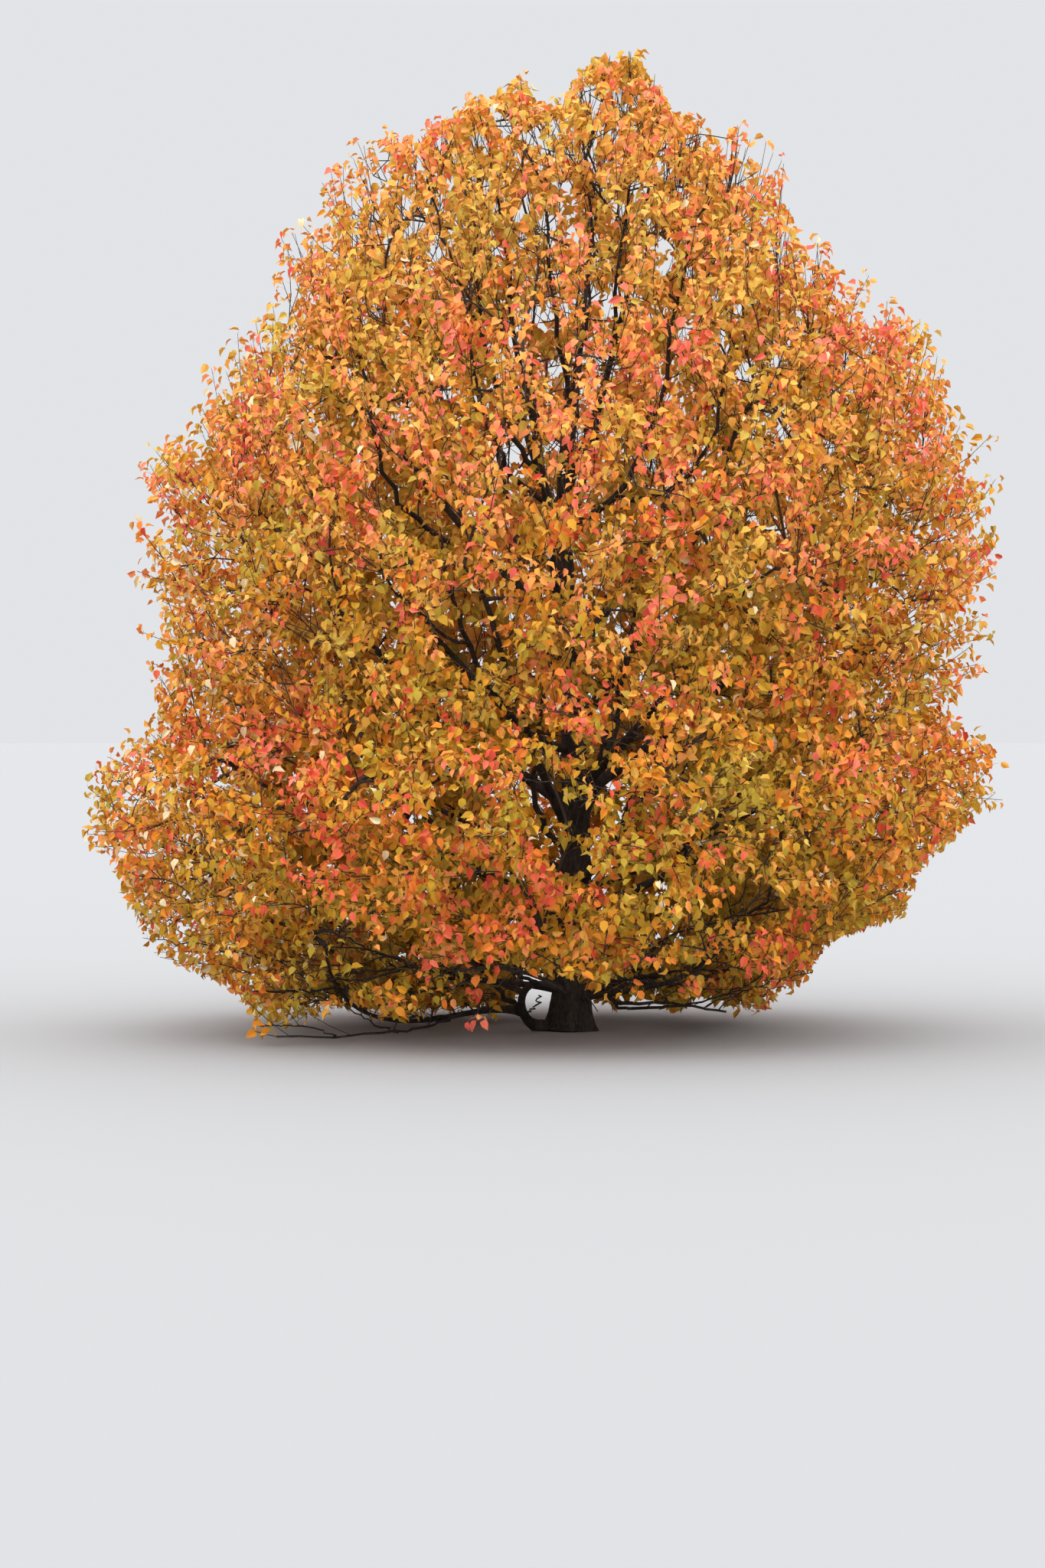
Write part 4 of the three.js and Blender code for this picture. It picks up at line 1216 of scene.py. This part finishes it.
MASS_SLOTS = ["leaf_gold", "leaf_orange", "leaf_ochre", "leaf_coral", "leaf_amber"]  # in the masses' order

# Which sprays are warm, and which take the paler blade, painted light that brightens the top of the crown
OUTER_WARMTH = 1.2
PATCH_WARMTH = 0.25
PATCH_SIZE = 0.4
PATCH_STRENGTH = 0.6
PATCH_DEPTH = 0.5  # the patches of the photographed side fade out over this depth
SPRAY_STRAY = 0.36
LEAF_STRAY = 0.30
PAINTED_LIGHT_HEIGHTS = (0.8, 3.8)
PAINTED_LIGHT_SHARES = (0.05, 0.95)
PATCH_WAVES = 14
PATCH_WAVE_SIZES = (0.6, 1.6)

# Where the photographed side is warmer or cooler than the rest: x, z, radius and how much
TINT_PATCHES = [
    (0.03, 3.03, 0.26, 0.8),
    (-0.53, 2.91, 0.16, 0.7),
    (-0.16, 3.73, 0.18, 0.4),
    (0.43, 2.66, 0.32, 0.7),
    (-0.41, 2.52, 0.20, 0.6),
    (-1.12, 2.81, 0.18, 0.5),
    (-1.74, 2.76, 0.18, 0.7),
    (-1.35, 1.50, 0.22, 1.0),
    (-1.79, 1.46, 0.16, 0.6),
    (-1.28, 0.92, 0.24, 0.8),
    (-0.16, 0.69, 0.24, 0.9),
    (-0.50, 0.47, 0.22, 0.9),
    (0.72, 0.36, 0.24, 0.2),
    (1.14, 2.57, 0.20, 0.6),
    (1.32, 1.43, 0.18, 0.3),
    (1.86, 1.28, 0.22, 0.3),
    (1.27, 3.55, 0.16, 0.4),
    (1.66, 3.09, 0.18, 0.5),
    (0.25, 4.45, 0.28, 0.4),
    (0.58, 3.95, 0.16, 0.5),
    (-0.95, 4.10, 0.14, 0.4),
    (0.38, 1.28, 0.22, 0.5),
    (-1.25, 3.16, 0.26, -0.5),
    (-1.54, 2.37, 0.22, -0.5),
    (-0.75, 2.42, 0.20, -0.5),
    (-0.90, 1.74, 0.30, -0.7),
    (0.77, 1.18, 0.32, -0.8),
    (0.00, 1.18, 0.22, -0.8),
    (-1.89, 0.79, 0.24, -0.5),
    (-1.25, 0.36, 0.45, -0.9),
    (-1.38, 0.02, 0.20, -1.2),
    (0.82, 2.81, 0.18, -0.6),
    (0.38, 0.74, 0.24, -0.5),
    (1.20, 0.95, 0.50, -0.3),
    (1.40, 2.25, 0.55, -0.3),
    (0.90, 0.50, 0.45, -0.2),
    (-0.50, 4.08, 0.24, -0.4),
]


def patchwork(places, size, rng):
    """A smooth seeded field, about -1 to 1, whose patches are about so large."""
    ways = unit(rng.normal(0, 1, (PATCH_WAVES, 3)))
    waves = ways * rng.uniform(*PATCH_WAVE_SIZES, (PATCH_WAVES, 1)) * np.pi / size
    turns = rng.uniform(0, 2 * np.pi, PATCH_WAVES)
    return np.cos(places @ waves.T + turns).sum(axis=1) / np.sqrt(PATCH_WAVES / 2)


def deal_tints(leaves, shoots, rng):
    """The tint of each leaf. A spray is warmer the further out it is, and its leaves are much alike."""
    tips = shoots.curves[:, 2]
    warmth = OUTER_WARMTH * crown_share(tips) + PATCH_WARMTH * patchwork(tips, PATCH_SIZE, rng)
    front = np.clip(0.5 - tips[:, 1] / PATCH_DEPTH, 0, 1)
    seen_x, seen_z = as_seen(tips)
    for x, z, radius, amount in TINT_PATCHES:
        apart = np.hypot(seen_x - x, seen_z - z) / radius
        warmth += PATCH_STRENGTH * front * amount * np.exp(-(apart**2))
    warmth += rng.normal(0, SPRAY_STRAY, len(tips))
    leaf_warmth = warmth[leaves.shoot] + rng.normal(0, LEAF_STRAY, len(leaves.shoot))
    rank = np.argsort(np.argsort(leaf_warmth)) / len(leaf_warmth)
    hue = np.searchsorted(np.cumsum([share for _, share, *_ in TINTS])[:-1], rank)
    # higher sprays more often take the paler blade: painted light, the top of the crown lit brighter
    low, high = PAINTED_LIGHT_HEIGHTS
    painted_light = rng.uniform(0, 1, len(tips)) < np.clip((tips[:, 2] - low) / (high - low), *PAINTED_LIGHT_SHARES)
    blades = np.array([(deep, light) for _, _, deep, _, light, _ in TINTS])
    tint = blades[hue, painted_light[leaves.shoot].astype(int)]
    windward = np.clip((WINDWARD_FROM - leaves.root[:, 0]) / WINDWARD_SPAN, 0, 1)
    in_cream = rng.uniform(0, 1, len(tint)) < lerp(CREAM_SHARE, WINDWARD_CREAM_SHARE, windward)
    return np.where(in_cream, CREAM[1], tint)


# Joined meshes


def joined(name, corners, faces, material, replaced=()):
    """One piece from arrays of corners and three-cornered faces, riding on the tree."""
    mesh = bpy.data.meshes.new(name)
    mesh.vertices.add(len(corners))
    mesh.vertices.foreach_set("co", np.ascontiguousarray(corners, np.float32).ravel())
    mesh.loops.add(faces.size)
    mesh.loops.foreach_set("vertex_index", np.ascontiguousarray(faces, np.int32).ravel())
    mesh.polygons.add(len(faces))
    mesh.polygons.foreach_set("loop_start", np.arange(0, faces.size, 3, dtype=np.int32))
    mesh.polygons.foreach_set("use_smooth", np.ones(len(faces), bool))
    mesh.update(calc_edges=True)
    mesh.materials.append(material)
    piece = bpy.data.objects.new(name, mesh)
    bpy.context.scene.collection.objects.link(piece)
    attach(piece, "root")
    if replaced:
        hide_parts(*replaced)


def rings_along(paths):
    """Two unit vectors square to each path at each step, carried along it without a twist."""
    along = unit(np.gradient(paths, axis=-2))
    upward = np.empty_like(along)
    side = turned_about(along[..., 0, :], np.zeros(along.shape[:-2]))
    for step in range(along.shape[-2]):
        tangent = along[..., step, :]
        side = unit(side - dot(side, tangent) * tangent)
        upward[..., step, :] = side
    return upward, np.cross(along, upward)


def round_limbs(paths, radii, sides):
    """Closed-tipped limbs along many paths. Radii are one to a step, or one to a step and side."""
    upward, across = rings_along(paths)
    angles = angles_round(sides)
    if radii.ndim == paths.ndim - 1:
        radii = radii[..., None]
    rings = paths[..., None, :] + radii[..., None] * (
        upward[..., None, :] * np.cos(angles)[:, None] + across[..., None, :] * np.sin(angles)[:, None]
    )
    count, steps = rings.shape[:2]
    corners = np.concatenate([rings.reshape(count, steps * sides, 3), paths[:, -1:]], axis=1)
    ring, side = np.meshgrid(np.arange(steps - 1), np.arange(sides), indexing="ij")
    here = ring * sides + side
    beside = ring * sides + (side + 1) % sides
    lower = np.stack([here, beside, beside + sides], axis=-1).reshape(-1, 3)
    upper = np.stack([here, beside + sides, here + sides], axis=-1).reshape(-1, 3)
    rim = (steps - 1) * sides
    side = np.arange(sides)
    cap = np.stack([rim + side, rim + (side + 1) % sides, np.full(sides, steps * sides)], axis=-1)
    one = np.concatenate([lower, upper, cap])
    faces = one[None] + (np.arange(count) * corners.shape[1])[:, None, None]
    return corners.reshape(-1, 3), faces.reshape(-1, 3)


def angles_round(sides):
    return np.arange(sides) * 2 * np.pi / sides


# The bark's relief
FISSURE_SPACING = 0.016
FISSURE_RUN = 6  # fissures are this many times longer than they are apart
FISSURE_WIDTH = 0.16
FISSURE_STRAY = 0.8
STRAY_SIZE = 3  # the stray is so many times coarser than the fissures, and the grain so many times finer
GRAIN_HEIGHT = 0.35

# Mixing numbers of the seeded noise
PLACE_MIX = np.array([73856093, 19349663, 83492791])
SEED_MIX = 2654435761
LAST_MIX = 1274126177
WHOLE_MASK = 0xFFFFFFFF
HALF_MASK = 0xFFFF


def lattice_noise(places, seed):
    """Smooth noise from -1 to 1 at places in space, one unit from peak to peak."""
    cell = np.floor(places).astype(np.int64)
    part = places - cell
    part = part * part * (3 - 2 * part)
    total = 0
    for corner in np.ndindex(2, 2, 2):
        mixed = np.bitwise_xor.reduce((cell + corner) * PLACE_MIX, axis=-1) ^ (seed * SEED_MIX)
        mixed = (mixed ^ (mixed >> 13)) * LAST_MIX & WHOLE_MASK
        mixed = (mixed ^ (mixed >> 16)) & HALF_MASK
        weight = np.prod(np.where(corner, part, 1 - part), axis=-1)
        total = total + weight * (mixed / (HALF_MASK / 2) - 1)
    return total


def bark_relief(radii, runs, angles, seed):
    """How far the bark stands out, from -1 in a fissure to about 0.4 on a plate."""
    around = np.broadcast_arrays(np.cos(angles) * radii, np.sin(angles) * radii, runs / FISSURE_RUN)
    places = np.stack(around, axis=-1) / FISSURE_SPACING
    stray = lattice_noise(places / STRAY_SIZE, seed + 1)[..., None] * FISSURE_STRAY
    crack = lattice_noise(places + stray, seed)
    grain = lattice_noise(places * STRAY_SIZE, seed + 2)
    return -np.exp(-((crack / FISSURE_WIDTH) ** 2)) + GRAIN_HEIGHT * grain


# The pieces of wood: sides round each, and steps along it
TRUNK_SIDES = 88
TRUNK_STEPS = 190
LEADER_STEPS = 70
TRUNK_RELIEF = 0.0055
TRUNK_SEED = 3
STEP_POWER = 1.35  # the trunk's steps are closer together at its foot
BOUGH_SIDES = 14
BOUGH_STEPS = 34
STEM_STEPS = 16
BOUGH_RELIEF = 0.11  # share of a bough's radius
BOUGH_SEED = 20
COLLAR = 0.5  # how much thicker a bough is where it leaves the trunk
COLLAR_FADE = 0.05
SEEN_LIMB_SIDES = 9
TWIG_MESHES = {"main_twigs": (7, 10), "limbs": (6, 9), "branchlets": (3, 6), "shoots": (3, 3)}


def make_trunk(materials):
    """The trunk with its root flare and fissured bark, running on into the leader."""
    heights = TRUNK_HEIGHT * np.linspace(0, 1, TRUNK_STEPS) ** STEP_POWER
    shares = np.linspace(0, 1, LEADER_STEPS)
    leader = bezier(leader_curve(), shares)[1:]
    path = np.concatenate([trunk_axis(heights), leader])
    angles = angles_round(TRUNK_SIDES)
    trunk = trunk_radius(heights[:, None], angles)
    thin = leader_radius(shares[1:, None])
    radii = np.concatenate([trunk, np.broadcast_to(thin, (len(leader), TRUNK_SIDES))])
    relief = bark_relief(radii, path_runs(path)[:, None], angles, TRUNK_SEED)
    depth = np.minimum(TRUNK_RELIEF, radii * BOUGH_RELIEF)
    corners, faces = round_limbs(path[None], (radii + relief * depth)[None], TRUNK_SIDES)
    corners[:, 2] = np.maximum(corners[:, 2], 0)
    joined("trunk_and_leader", corners, faces, materials["bark"], ["trunk"])


def make_boughs(boughs, materials):
    """Each tier's boughs, with collars at the trunk, running on as the stems of their masses."""
    angles = angles_round(BOUGH_SIDES)
    shares = np.linspace(0, 1, BOUGH_STEPS)
    stem_shares = np.linspace(0, 1, STEM_STEPS + 1)[1:]
    for seed, tier in enumerate(TIERS):
        group = [bough for bough in boughs if bough.tier == tier.name]
        paths, radii = [], []
        for bough in group:
            paths.append(np.concatenate([bezier(bough.curve, shares), bezier(bough.stem, stem_shares)]))
            run = path_runs(paths[-1][:BOUGH_STEPS])
            hidden = trunk_radius(bough.curve[0][2], 0) if bough.from_inside else bough.base_radius
            collar = COLLAR * np.exp(-np.maximum(run - hidden, 0) / COLLAR_FADE)
            stem = lerp(bough.tip_radius, TWIG_TIP_RADIUS, stem_shares)
            radii.append(np.concatenate([bough.radius(shares) * (1 + collar), stem]))
        paths, radii = np.array(paths), np.array(radii)[..., None]
        relief = bark_relief(radii, path_runs(paths)[..., None], angles, BOUGH_SEED + seed)
        corners, faces = round_limbs(paths, radii * (1 + relief * BOUGH_RELIEF), BOUGH_SIDES)
        corners[:, 2] = np.maximum(corners[:, 2], LOWEST_SURFACE)
        replaced = [bough.name for bough in group]
        joined(f"{tier.name}_boughs", corners, faces, materials["bark"], replaced)


def make_wood(name, paths, radii, sides, material):
    corners, faces = round_limbs(paths, radii, sides)
    corners[:, 2] = np.maximum(corners[:, 2], LOWEST_SURFACE)
    joined(name, corners, faces, material)


def make_twigs(name, limbs, material):
    sides, steps = TWIG_MESHES[name]
    shares = np.linspace(0, 1, steps)
    radii = lerp(limbs.base_radii[:, None], limbs.tip_radii[:, None], shares)
    make_wood(name, bezier(limbs.curves, shares), radii, sides, material)


def make_leaves(leaves, tints, boughs, materials, rng):
    """The leaves of each tint as a piece of their own, standing for the masses of their slot."""
    corners = leaf_corners(leaves, rng)
    for name, (slot, _) in BLADES.items():
        chosen = corners[tints == name]
        faces = LEAF_FACES[None] + (np.arange(len(chosen)) * LEAF_CORNERS)[:, None, None]
        masses = [b.mass for i, b in enumerate(boughs) if MASS_SLOTS[i % len(MASS_SLOTS)] == slot]
        joined(f"leaves_{name}", chosen.reshape(-1, 3), faces.reshape(-1, 3), materials[name], masses)


# Materials
BARK = {"crack": "0d0a08", "plate": "4a3f36", "scale": 1.0, "bump": 0.004}
TWIG_BARK = {"crack": "1d1612", "plate": "5a4b40", "scale": 2.5, "bump": 0.001}
BARK_STRETCH = (1, 1, 0.3)  # its marks are longer than they are wide
# The underside: the leaf's own paler colour, made paler and more golden still by painted light that stands
# in for light shining through the leaf
UNDERSIDE_AND_LIGHT_THROUGH = "f4c262"
UNDERSIDE_AND_LIGHT_THROUGH_SHARE = 0.4  # how much of that colour the underside of a leaf takes
LEAF_GLOSS = 0.42
LEAF_SPECULAR = 0.15


def linear(colour):
    """Linear red, green, blue and alpha from a colour's six hexadecimal digits."""
    parts = np.array([int(colour[i : i + 2], 16) / 255 for i in (0, 2, 4)])
    parts = np.where(parts <= 0.04045, parts / 12.92, ((parts + 0.055) / 1.055) ** 2.4)
    return (*parts, 1.0)


def new_group(name, inputs, outputs):
    group = bpy.data.node_groups.new(name, "ShaderNodeTree")
    for title, kind, default in inputs:
        socket = group.interface.new_socket(title, in_out="INPUT", socket_type=kind)
        socket.default_value = default
    for title, kind in outputs:
        group.interface.new_socket(title, in_out="OUTPUT", socket_type=kind)
    return group, group.nodes.new("NodeGroupInput"), group.nodes.new("NodeGroupOutput")


def new_node(nodes, kind, values):
    """A node with the values of its inputs, by their titles."""
    node = nodes.new(kind)
    for title, value in values.items():
        node.inputs[title].default_value = value
    return node


def noise_node(nodes, scale, detail, roughness=0.55):
    return new_node(nodes, "ShaderNodeTexNoise", {"Scale": scale, "Detail": detail, "Roughness": roughness})


def bark_weather_group():
    """Bark's colour between its plates and cracks, with its roughness and its fine height."""
    group, ins, outs = new_group(
        "bark_weather",
        [
            ("Crack colour", "NodeSocketColor", (0, 0, 0, 1)),
            ("Plate colour", "NodeSocketColor", (0, 0, 0, 1)),
            ("Scale", "NodeSocketFloat", 1.0),
        ],
        [("Colour", "NodeSocketColor"), ("Roughness", "NodeSocketFloat"), ("Height", "NodeSocketFloat")],
    )
    nodes, links = group.nodes, group.links
    place = nodes.new("ShaderNodeTexCoord")
    stretch = new_node(nodes, "ShaderNodeMapping", {"Scale": BARK_STRETCH})
    sized = nodes.new("ShaderNodeVectorMath")
    sized.operation = "SCALE"
    blotches = noise_node(nodes, 14, 4)
    grain = noise_node(nodes, 90, 5, 0.65)
    mixed = nodes.new("ShaderNodeMix")
    mixed.data_type = "FLOAT"
    mixed.inputs["Factor"].default_value = 0.55
    tone = new_node(nodes, "ShaderNodeMapRange", {"From Min": 0.36, "From Max": 0.66})
    colour = nodes.new("ShaderNodeMix")
    colour.data_type = "RGBA"
    rough = new_node(nodes, "ShaderNodeMapRange", {"To Min": 0.95, "To Max": 0.72})
    links.new(place.outputs["Object"], stretch.inputs["Vector"])
    links.new(stretch.outputs["Vector"], sized.inputs[0])
    links.new(ins.outputs["Scale"], sized.inputs["Scale"])
    links.new(sized.outputs["Vector"], blotches.inputs["Vector"])
    links.new(sized.outputs["Vector"], grain.inputs["Vector"])
    links.new(blotches.outputs["Fac"], mixed.inputs["A"])
    links.new(grain.outputs["Fac"], mixed.inputs["B"])
    links.new(mixed.outputs["Result"], tone.inputs["Value"])
    links.new(tone.outputs["Result"], colour.inputs["Factor"])
    links.new(ins.outputs["Crack colour"], colour.inputs["A"])
    links.new(ins.outputs["Plate colour"], colour.inputs["B"])
    links.new(tone.outputs["Result"], rough.inputs["Value"])
    links.new(colour.outputs["Result"], outs.inputs["Colour"])
    links.new(rough.outputs["Result"], outs.inputs["Roughness"])
    links.new(grain.outputs["Fac"], outs.inputs["Height"])
    return group


def leaf_surface_group():
    """A leaf's waxy roughness and the fine height of its veins and puckers."""
    group, ins, outs = new_group(
        "leaf_surface",
        [("Gloss", "NodeSocketFloat", 0.4)],
        [("Roughness", "NodeSocketFloat"), ("Height", "NodeSocketFloat")],
    )
    nodes, links = group.nodes, group.links
    place = nodes.new("ShaderNodeTexCoord")
    wax = noise_node(nodes, 30, 2)
    veins = noise_node(nodes, 160, 3)
    spread = nodes.new("ShaderNodeMath")
    spread.operation = "MULTIPLY_ADD"
    spread.inputs[1].default_value = 0.25
    links.new(place.outputs["Object"], wax.inputs["Vector"])
    links.new(place.outputs["Object"], veins.inputs["Vector"])
    links.new(wax.outputs["Fac"], spread.inputs[0])
    links.new(ins.outputs["Gloss"], spread.inputs[2])
    links.new(spread.outputs["Value"], outs.inputs["Roughness"])
    links.new(veins.outputs["Fac"], outs.inputs["Height"])
    return group


def new_material(name):
    """A material, its node tree and the shader in it."""
    material = bpy.data.materials.new(name)
    material.use_nodes = True
    return material, material.node_tree, material.node_tree.nodes["Principled BSDF"]


def bark_material(name, weather, crack, plate, scale, bump):
    material, tree, shader = new_material(name)
    nodes, links = tree.nodes, tree.links
    group = nodes.new("ShaderNodeGroup")
    group.node_tree = weather
    group.inputs["Crack colour"].default_value = linear(crack)
    group.inputs["Plate colour"].default_value = linear(plate)
    group.inputs["Scale"].default_value = scale
    raised = new_node(nodes, "ShaderNodeBump", {"Strength": 0.6, "Distance": bump})
    links.new(group.outputs["Height"], raised.inputs["Height"])
    links.new(group.outputs["Colour"], shader.inputs["Base Color"])
    links.new(group.outputs["Roughness"], shader.inputs["Roughness"])
    links.new(raised.outputs["Normal"], shader.inputs["Normal"])
    return material


def leaf_material(name, surface, colour):
    """A waxy upper side in one plain tint, and an underside paler by its own colour and by painted light
    that stands in for light shining through the leaf.
    """
    material, tree, shader = new_material(f"leaf_{name}")
    nodes, links = tree.nodes, tree.links
    upper = linear(colour)
    # the underside's colour is partly its own and partly painted light through the leaf
    under_and_light_through = tuple(lerp(np.array(upper), np.array(linear(UNDERSIDE_AND_LIGHT_THROUGH)), UNDERSIDE_AND_LIGHT_THROUGH_SHARE))
    group = nodes.new("ShaderNodeGroup")
    group.node_tree = surface
    group.inputs["Gloss"].default_value = LEAF_GLOSS
    shader.inputs["Specular IOR Level"].default_value = LEAF_SPECULAR
    raised = new_node(nodes, "ShaderNodeBump", {"Strength": 0.3, "Distance": 0.0012})
    side = nodes.new("ShaderNodeNewGeometry")
    sides = nodes.new("ShaderNodeMix")
    sides.data_type = "RGBA"
    sides.inputs["A"].default_value = upper
    sides.inputs["B"].default_value = under_and_light_through
    links.new(side.outputs["Backfacing"], sides.inputs["Factor"])
    links.new(sides.outputs["Result"], shader.inputs["Base Color"])
    links.new(group.outputs["Roughness"], shader.inputs["Roughness"])
    links.new(group.outputs["Height"], raised.inputs["Height"])
    links.new(raised.outputs["Normal"], shader.inputs["Normal"])
    return material


def make_materials():
    weather = bark_weather_group()
    surface = leaf_surface_group()
    materials = {
        "bark": bark_material("bark", weather, **BARK),
        "twig": bark_material("twig_bark", weather, **TWIG_BARK),
    }
    for name, (_, colour) in BLADES.items():
        materials[name] = leaf_material(name, surface, colour)
    return materials


# The studio: an overcast sky, brighter overhead than behind the tree, and a pale floor
HORIZON_LIGHT = 0.80
ZENITH_LIGHT = 1.97
SKY_RISE = (0.17, 0.35)  # between these heights of the sky the light grows
SKY_COLOUR = (0.95, 0.97, 1.0, 1)
FLOOR_RADIUS = 260
FLOOR_CORNERS = 96
FLOOR_COLOUR = (0.385, 0.385, 0.385, 1)
FLOOR_ROUGHNESS = 0.9
SUN_STRENGTH = 0.2
SUN_SPREAD = 0.9
SUN_TURN = (42, 0, -28)
SENSOR_WIDTH = 36
FARTHEST_SEEN = 1000


def make_sky():
    world = bpy.data.worlds.new("soft_studio")
    world.use_nodes = True
    nodes, links = world.node_tree.nodes, world.node_tree.links
    sky = nodes["Background"]
    sky.inputs["Color"].default_value = SKY_COLOUR
    way = nodes.new("ShaderNodeTexCoord")
    parts = nodes.new("ShaderNodeSeparateXYZ")
    low, high = SKY_RISE
    ends = {"From Min": low, "From Max": high, "To Min": HORIZON_LIGHT, "To Max": ZENITH_LIGHT}
    strength = new_node(nodes, "ShaderNodeMapRange", ends)
    links.new(way.outputs["Generated"], parts.inputs["Vector"])
    links.new(parts.outputs["Z"], strength.inputs["Value"])
    links.new(strength.outputs["Result"], sky.inputs["Strength"])
    bpy.context.scene.world = world
    bpy.context.scene.view_settings.view_transform = "Standard"


def make_floor():
    bpy.ops.mesh.primitive_circle_add(vertices=FLOOR_CORNERS, radius=FLOOR_RADIUS, fill_type="NGON")
    floor = bpy.context.object
    floor.name = "studio_floor"
    paint, _, shader = new_material("pale_floor")
    shader.inputs["Base Color"].default_value = FLOOR_COLOUR
    shader.inputs["Roughness"].default_value = FLOOR_ROUGHNESS
    floor.data.materials.append(paint)


def make_key_light():
    sun = bpy.data.lights.new("soft_key", "SUN")
    sun.energy = SUN_STRENGTH
    sun.angle = SUN_SPREAD
    key = bpy.data.objects.new("soft_key", sun)
    key.rotation_euler = np.radians(SUN_TURN)
    bpy.context.scene.collection.objects.link(key)


def make_camera():
    camera = bpy.data.objects.new("camera", bpy.data.cameras.new("camera"))
    bpy.context.scene.collection.objects.link(camera)
    camera.data.lens = CAMERA_LENS
    camera.data.sensor_width = SENSOR_WIDTH
    camera.data.clip_end = FARTHEST_SEEN
    camera.location = CAMERA_PLACE
    way = np.subtract(CAMERA_AIM, CAMERA_PLACE)
    camera.rotation_euler = (np.arctan2(np.hypot(way[0], way[1]), -way[2]), 0, 0)
    bpy.context.scene.camera = camera


# The tree


def fallen(shoots, leaves, rng):
    """Shoots without a leaf that aren't there: all of them far out, and many of the others."""
    leafless = np.bincount(leaves.shoot, minlength=len(shoots.curves)) == 0
    lost = rng.uniform(0, 1, len(leafless)) < BARE_SHOOT_LOSS
    return leafless & (lost | (crown_share(shoots.curves[:, 2]) > BARE_SHOOT_LIMIT))


def make_tree():
    rng = np.random.default_rng(SEED)
    materials = make_materials()
    boughs = plan_boughs()
    make_trunk(materials)
    make_boughs(boughs, materials)

    main_twigs = grow_main_twigs(boughs)
    forks = standing_wood(boughs, main_twigs)
    seen_paths, seen_radii = grow_seen_limbs(forks, rng)
    limbs = grow_limbs(lattice(LIMB_LAYER, rng), forks, LIMB_RADIUS, LIMB_TIP_RADIUS, rng)
    tips = np.concatenate([lattice(layer, rng) for layer in BRANCHLET_LAYERS])
    branchlets = grow_limbs(tips, forks, BRANCHLET_RADIUS, BRANCHLET_TIP_RADIUS, rng)
    openings = plan_openings(rng)
    carriers = [
        (branchlets, BRANCHLET_SHOOTS_FROM),
        (limbs, LIMB_SHOOTS_FROM),
        (main_twigs, MAIN_TWIG_SHOOTS_FROM),
        (outer_halves(seen_paths, seen_radii), SEEN_SHOOTS_FROM),
    ]
    shoots = fit_shoots(gathered([grow_shoots(group, share, rng) for group, share in carriers]), rng)
    leaves = thin_leaves(grow_leaves(shoots, rng), shoots, openings, seen_paths, rng)
    tints = deal_tints(leaves, shoots, rng)

    make_wood("seen_limbs", seen_paths, seen_radii, SEEN_LIMB_SIDES, materials["bark"])
    make_twigs("main_twigs", main_twigs, materials["twig"])
    make_twigs("limbs", limbs, materials["twig"])
    make_twigs("branchlets", branchlets, materials["twig"])
    make_twigs("shoots", shoots.picked(~fallen(shoots, leaves, rng)), materials["twig"])
    make_leaves(leaves, tints, boughs, materials, rng)


make_tree()
make_sky()
make_floor()
make_key_light()
make_camera()
